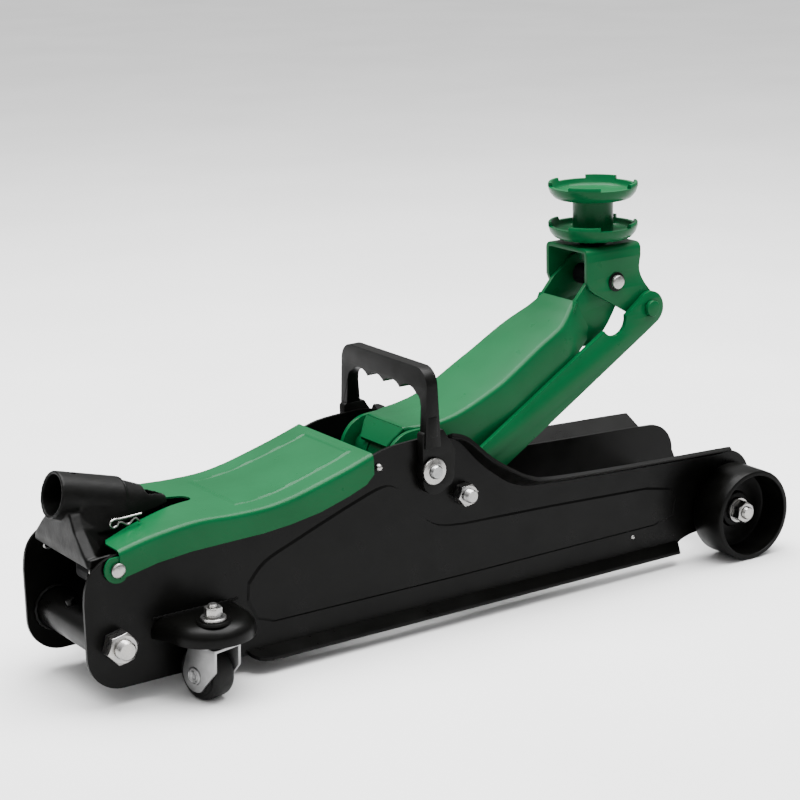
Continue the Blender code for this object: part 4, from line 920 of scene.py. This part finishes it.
def saddle_bracket():
    px, pz = SADDLE_PIN
    dx, dz = ROD_PIN
    top = BRACKET_TOP
    split = top - 0.0120
    cheek = [(px - 0.0330, split), (px - 0.0330, pz + 0.0030), (px - 0.0305, pz - 0.0030),
             (px - 0.0245, pz - 0.0080), (px + 0.0115, pz - 0.0290), (dx - 0.0090, dz - 0.0108)]
    cheek += arc((dx, dz), 0.0140, 240, 372, 20)
    cheek += smooth([(px + 0.0425, pz - 0.0160), (px + 0.0325, pz - 0.0040), (px + 0.0270, pz + 0.0080),
                     (px + 0.0285, split)], 4)
    bend, inner_bend, thick = 0.0060, 0.0020, 0.0040
    outer = [(BRACKET_OUT, split)] + arc((BRACKET_OUT - bend, top - bend), bend, 0, 90, 6)
    inner = [(BRACKET_IN, split)]
    inner += arc((BRACKET_IN - inner_bend, top - thick - inner_bend), inner_bend, 0, 90, 3)
    section = both_sides(outer) + list(reversed(both_sides(inner)))
    sections = [[(x, y, z) for y, z in section] for x in (px - 0.0330, px - 0.0100, px + 0.0100, px + 0.0285)]
    bridge = loft("bridge", sections)
    for _, side in SIDES:
        bridge = join(bridge, slab("cheek", [cheek], *span(side, BRACKET_IN, BRACKET_OUT)))
    bridge = cut(bridge, rod("bore_a", 0.0070, point_at(SADDLE_PIN, -0.06), point_at(SADDLE_PIN, 0.06)),
                 rod("bore_b", 0.0066, point_at(ROD_PIN, -0.06), point_at(ROD_PIN, 0.06)),
                 rod("bore_c", 0.0126, (SADDLE_X, 0, 0.28), (SADDLE_X, 0, 0.32)))
    dressed(rounded(bridge, 0.0007, 2, 50), "bracket", GREEN, "saddle_bracket").name = "saddle_carrier"
    for word, side in SIDES:
        pin = [(0, 0.0405), (0.0060, 0.0405), (0.0070, 0.0402), (0.0074, 0.0395), (0.0074, 0.0368),
               (0.0062, 0.0368), (0.0062, 0.0257), (0.0080, 0.0257), (0.0085, 0.0252), (0.0085, 0.0235),
               (0, 0.0235)]
        made = turned("rod_stub_" + word, pin, point_at(ROD_PIN, 0), out(side), 36)
        dressed(made, "bracket", GREEN, "rod_pin_" + word)
    end = [(0, 0.0350), (0.0050, 0.0350), (0.0060, 0.0346), (0.0065, 0.0337)]
    pin = turned("saddle_cross", both_ends(end), point_at(SADDLE_PIN, 0), "Y", 40)
    dressed(pin, "arm", ZINC, "saddle_pin")
    for word, side in SIDES:
        keep = turned("keep_ring_" + word, [(0.0066, 0.0010), (0.0083, 0.0010), (0.0088, 0.0006),
                                            (0.0088, 0.0), (0.0066, 0.0)],
                      point_at(SADDLE_PIN, side * (BRACKET_OUT + 0.0003)), out(side), 40, True)
        dressed(keep, "arm", BLACK)
    sleeve = turned("sleeve", [(0.0069, 0.0424), (0.0090, 0.0424), (0.0095, 0.0419), (0.0095, 0.0005),
                               (0.0090, 0), (0.0069, 0)], point_at(SADDLE_PIN, -0.0212), "Y", 40, True)
    dressed(sleeve, "arm", IRON, "pin_sleeve")


def dish_gaps(rim):
    gaps = []
    for i in range(4):
        middle = 90 * i - 5
        outer = arc((SADDLE_X, 0), 0.0460, middle - 25, middle + 25, 12)
        inner = arc((SADDLE_X, 0), 0.0320, middle + 21, middle - 21, 12)
        gaps.append(plan_slab("gap", [outer + inner], rim - 0.0036, rim + 0.0100))
    return gaps


def saddles():
    low = DISH_RIM
    rim = [(0.0375, -0.0004), (0.0384, 0.0), (0.0398, -0.0002), (DISH_R, -0.0012), (DISH_R, -0.0040),
           (0.0398, -0.0062), (0.0388, -0.0090), (0.0372, -0.0112), (0.0352, -0.0134), (0.0330, -0.0146)]
    floor = [(0.0300, -0.0097), (0.0330, -0.0092), (0.0347, -0.0080), (0.0356, -0.0064)]
    dish = [(r, low + h) for r, h in rim] + [(0.0124, low - 0.0146), (0.0120, low - 0.0152), (0.0120, 0.2848),
                                             (0.0112, 0.2840), (0.0105, 0.2840), (0.0105, low - 0.0104),
                                             (0.0112, low - 0.0097)]
    dish += [(r, low + h) for r, h in floor]
    saddle = cut(turned("dish", dish, (SADDLE_X, 0, 0), "Z", 96, True), *dish_gaps(low))
    dressed(rounded(saddle, 0.0005, 2, 40), "saddle", GREEN, "saddle", sharp=40).name = "lower_saddle"
    high = DISH_RIM + EXTENSION_RISE
    upper = [(0, high - 0.0097), (0.0040, high - 0.0097)] + [(r, high + h) for r, h in floor]
    upper += [(r, high + h) for r, h in rim]
    upper += [(0.0203, high - 0.0150), (0.0187, high - 0.0156), (0.0183, high - 0.0172),
              (0.0183, low - 0.0086), (0.0177, low - 0.0092), (0.0101, low - 0.0092), (0.0101, 0.2926),
              (0.0095, 0.2920), (0, 0.2920)]
    extension = cut(turned("riser", upper, (SADDLE_X, 0, 0), "Z", 96), *dish_gaps(high))
    dressed(rounded(extension, 0.0005, 2, 40), "extension", GREEN, "saddle_extension",
            sharp=40).name = "upper_saddle"


# Handle socket

def plan_loop(z, rear, half, bend, waist, front, tip):
    loop = [(rear, -half), (bend - 0.0130, -half), (bend, -waist), (front, -tip), (front, tip), (bend, waist),
            (bend - 0.0130, half), (rear, half)]
    return [(x, y, z) for x, y in loop]


def hood(name, stations):
    """A rounded top with walls. A station is x, radius, centre height, bottom and half width."""
    sections = []
    for x, radius, centre, bottom, half in stations:
        section = [(x, y, z) for y, z in arc((0, centre), radius, 0, 180, 16)]
        section += [(x, -(radius + (half - radius) * k / 4), centre + (bottom - centre) * k / 4)
                    for k in range(1, 5)]
        section += [(x, radius + (half - radius) * k / 4, centre + (bottom - centre) * k / 4)
                    for k in range(4, 0, -1)]
        sections.append(section)
    return loft(name, sections)


def handle_socket():
    start = Vector((SOCKET_MOUTH[0], 0, SOCKET_MOUTH[1]))
    line = Vector((math.cos(SOCKET_ANGLE), 0, -math.sin(SOCKET_ANGLE)))
    tube = rod("socket_tube", SOCKET_R, start, start + line * 0.0580, 64)
    skirt = loft("skirt", [plan_loop(0.1160, 0.0080, 0.0484, 0.0300, 0.0280, 0.0500, 0.0210),
                           plan_loop(0.1250, 0.0070, 0.0450, 0.0300, 0.0275, 0.0600, 0.0180),
                           plan_loop(0.1420, 0.0080, 0.0270, 0.0300, 0.0220, 0.0730, 0.0120),
                           plan_loop(0.1530, 0.0090, 0.0185, 0.0300, 0.0180, 0.0700, 0.0090)])
    hollow = loft("hollow", [plan_loop(0.1100, 0.0118, 0.0440, 0.0282, 0.0240, 0.0462, 0.0172),
                             plan_loop(0.1210, 0.0112, 0.0430, 0.0282, 0.0236, 0.0530, 0.0150),
                             plan_loop(0.1330, 0.0118, 0.0280, 0.0282, 0.0180, 0.0600, 0.0090)])
    upper = hood("hood", [(0.0200, 0.0186, 0.1623, 0.1440, 0.0215), (0.0300, 0.0190, 0.1596, 0.1360, 0.0255),
                          (0.0420, 0.0192, 0.1564, 0.1345, 0.0250), (0.0520, 0.0194, 0.1536, 0.1370, 0.0226),
                          (0.0600, 0.0191, 0.1510, 0.1395, 0.0204), (0.0700, 0.0168, 0.1490, 0.1400, 0.0176),
                          (0.0800, 0.0138, 0.1476, 0.1405, 0.0146), (0.0880, 0.0114, 0.1462, 0.1410, 0.0122),
                          (0.0960, 0.0085, 0.1444, 0.1416, 0.0094), (0.1035, 0.0040, 0.1438, 0.1422, 0.0048)])
    scoop = hood("scoop", [(0.0820, 0.0100, 0.1640, 0.1444, 0.0100), (0.0880, 0.0080, 0.1600, 0.1444, 0.0080),
                           (0.0960, 0.0040, 0.1560, 0.1446, 0.0042),
                           (0.1000, 0.0012, 0.1530, 0.1448, 0.0014)])
    body = cut(join(tube, skirt, upper), hollow, scoop)
    for _, side in SIDES:
        ear = arc(HINGE, 0.0100, -100, 85, 20) + [(0.0180, 0.1243), (0.0093, 0.1235), (0.0093, 0.1172)]
        lug = arc(ROLLER, 0.0062, 180, 360, 12) + [(0.0415, 0.1435), (0.0245, 0.1445)]
        body = join(body, slab("ear", [ear], *span(side, 0.0455, 0.0495)),
                    slab("lug", [lug], *span(side, 0.0105, 0.0140)))
    bore = rod("bore", 0.0165, start - line * 0.0100, start + line * 0.0560, 64)
    hole = rod("clamp", 0.0034, (0.0200, 0, 0.1650), (0.0240, 0, 0.2000), 24)
    body = cut(body, bore, hole)
    remesh = body.modifiers.new("skin", "REMESH")
    remesh.mode = "VOXEL"
    remesh.voxel_size = 0.0009
    soften = body.modifiers.new("soften", "SMOOTH")
    soften.factor = 0.6
    soften.iterations = 10
    body = baked(body, False)
    body = cut(body, rod("pin_r", 0.0051, point_at(HINGE, -0.06), point_at(HINGE, -0.0440)),
               rod("pin_l", 0.0051, point_at(HINGE, 0.0440), point_at(HINGE, 0.06)))
    dressed(body, "socket", CASTING, "handle_socket", sharp=50).name = "socket_casting"


# Pins and clips

def r_clip(name, ring, along, y):
    """A cotter of sprung wire: a ring, a straight leg and a waved leg, lying in a plane at one y."""
    ahead = Vector((along[0], along[1])).normalized()
    down = Vector((ahead[1], -ahead[0]))
    if down[1] > 0:
        down = -down
    points = []
    for forward, lower in [(0.0245, 0.0), (0.0160, 0.0), (0.0060, 0.0), (0.0010, -0.0006), (-0.0030, 0.0006),
                           (-0.0038, 0.0036), (-0.0012, 0.0060), (0.0022, 0.0050), (0.0034, 0.0030),
                           (0.0050, 0.0026), (0.0072, 0.0034), (0.0100, 0.0056), (0.0128, 0.0060),
                           (0.0152, 0.0042), (0.0176, 0.0024), (0.0198, 0.0030), (0.0222, 0.0062)]:
        at = Vector(ring) + ahead * forward + down * lower
        points.append((at[0], y, at[1]))
    return wire(name, points, 0.0009, 4, 2)


def hinge_pins():
    for word, side in SIDES:
        head = [(0, 0.0635), (0.0040, 0.0635), (0.0052, 0.0630), (0.0060, 0.0622), (0.0060, COVER_OUT + GAP),
                (0.0045, COVER_OUT + GAP), (0.0045, 0.0400), (0.0040, 0.0395), (0, 0.0395)]
        pin = turned("cover_pin_" + word, head, point_at(HINGE, 0), out(side), 36)
        dressed(pin, "chassis", ZINC, "hinge_pin_" + word)
        clip = r_clip("r_clip_" + word, (0.0165, 0.1144), (0.0115, 0.0006), side * 0.0415)
        dressed(clip, "chassis", ZINC, "hinge_clip_" + word)
    dressed(r_clip("cover_clip", (0.0425, 0.1450), (0.0230, 0.0010), -0.0290), "chassis", ZINC)


PULL_COIL = {"offset": 0.0205, "height": 0.0580, "radius": 0.0045, "turns": 26, "steps": 16}
PUSH_COIL = {"offset": 0.0, "height": ROLLER[1], "radius": 0.0089, "turns": 5, "steps": 24}
SPRING_WIRE = 0.0009


def helix(coil, start, stop, side=1):
    """Points along a coil whose axis runs along X."""
    points = []
    count = coil["turns"] * coil["steps"]
    for i in range(count + 1):
        angle = 2 * math.pi * i / coil["steps"]
        points.append((start + (stop - start) * i / count,
                       side * (coil["offset"] + coil["radius"] * math.cos(angle)),
                       coil["height"] + coil["radius"] * math.sin(angle)))
    return points


def sprung(name, points, finish, node):
    """A coil of wire through the points, in place of the CAD node named; its ends sit at the chassis and at
    the body that it pulls or pushes, but it is tied to neither.
    """
    made = wire(name, points, SPRING_WIRE, 1, 1)
    made.data.materials.clear()
    made.data.materials.append(finish)
    made.data.shade_smooth()
    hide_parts(node)
    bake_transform(made)


def springs():
    rear, front = 0.1516, CRANK_PIN[0] - 0.0155
    for word, side in SIDES:
        points = helix(PULL_COIL, rear, front, side)
        sprung("pull_spring_" + word, points, ZINC, "return_spring_" + word)
    rear, front = ROLLER[0] + 0.0135, 0.0868
    sprung("push_spring", helix(PUSH_COIL, rear, front), BLACK, "plunger_spring")


# Carried-over nodes

def carried_over():
    finishes = {"pump_block": IRON, "oil_tank": BLACK, "lift_cylinder": STEEL, "ram_rod": STEEL,
                "ram_head": IRON, "filler_plug": RUBBER, "pump_roller": IRON, "pump_plunger": IRON,
                "release_spindle": ZINC}
    for name, finish in finishes.items():
        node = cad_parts[name]
        node.data.materials.clear()
        node.data.materials.append(finish)


# Studio

def floor():
    work = bmesh.new()
    bmesh.ops.create_grid(work, x_segments=1, y_segments=1, size=14)
    ground = meshed("floor", work, False)
    made, tree, shader = nodes_of("floor_paint")
    tree.links.new(ramp(tree, noise(tree, 3, 3), [(0.3, (0.56, 0.56, 0.56)), (0.7, (0.60, 0.60, 0.60))]),
                   shader.inputs["Base Color"])
    shader.inputs["Roughness"].default_value = 0.9
    ground.data.materials.append(made)
    ground.location.z = -0.0002


def lamp(name, place, target, size, power):
    light = bpy.data.lights.new(name, "AREA")
    light.shape = "RECTANGLE"
    light.size, light.size_y = size
    light.energy = power
    made = link(bpy.data.objects.new(name, light))
    made.location = place
    made.rotation_euler = (Vector(target) - Vector(place)).to_track_quat("-Z", "Y").to_euler()


def studio():
    world = bpy.data.worlds.new("studio")
    world.use_nodes = True
    tree = world.node_tree
    where = tree.nodes.new("ShaderNodeTexCoord")
    split = tree.nodes.new("ShaderNodeSeparateXYZ")
    tree.links.new(where.outputs["Generated"], split.inputs["Vector"])
    shade = ramp(tree, split.outputs["Z"], [(0.0, (0.12, 0.12, 0.12)), (0.30, (0.22, 0.22, 0.22)),
                                            (0.9, (1, 1, 1))])
    tree.links.new(shade, tree.nodes["Background"].inputs["Color"])
    tree.nodes["Background"].inputs["Strength"].default_value = 2.3
    bpy.context.scene.world = world
    lamp("overhead", (0.1, 0.1, 2.2), (0, 0, 0), (2.8, 2.0), 330)
    lamp("front_fill", (-0.9, -2.4, 1.5), (0, 0, 0.1), (1.6, 1.2), 6)


CAMERA_YAW, CAMERA_PITCH, CAMERA_ROLL = 33.6125, 15.0707, -1.3656
CAMERA_LENS = 102.06648
CAMERA_PLACE = (-0.716052 - X_MID, -1.584211, 0.700315)


def camera():
    yaw, pitch, roll = (math.radians(angle) for angle in (CAMERA_YAW, CAMERA_PITCH, CAMERA_ROLL))
    ahead = Vector((math.sin(yaw) * math.cos(pitch), math.cos(yaw) * math.cos(pitch), -math.sin(pitch)))
    right = Vector((math.cos(yaw), -math.sin(yaw), 0))
    above = right.cross(ahead)
    right, above = (math.cos(roll) * right + math.sin(roll) * above, -math.sin(roll) * right
                    + math.cos(roll) * above)
    lens = bpy.data.cameras.new("camera")
    lens.sensor_width = 36
    lens.lens = CAMERA_LENS
    lens.clip_start = 0.05
    made = link(bpy.data.objects.new("camera", lens))
    turn = Matrix((right, above, -ahead)).transposed().to_4x4()
    made.matrix_world = Matrix.Translation(CAMERA_PLACE) @ turn
    bpy.context.scene.camera = made


camera()
side_plates()
rear_crossing()
front_wheels()
casters()
cover()
carry_handle()
lift_arm()
radius_rods()
saddle_bracket()
saddles()
handle_socket()
hinge_pins()
springs()
carried_over()
floor()
studio()
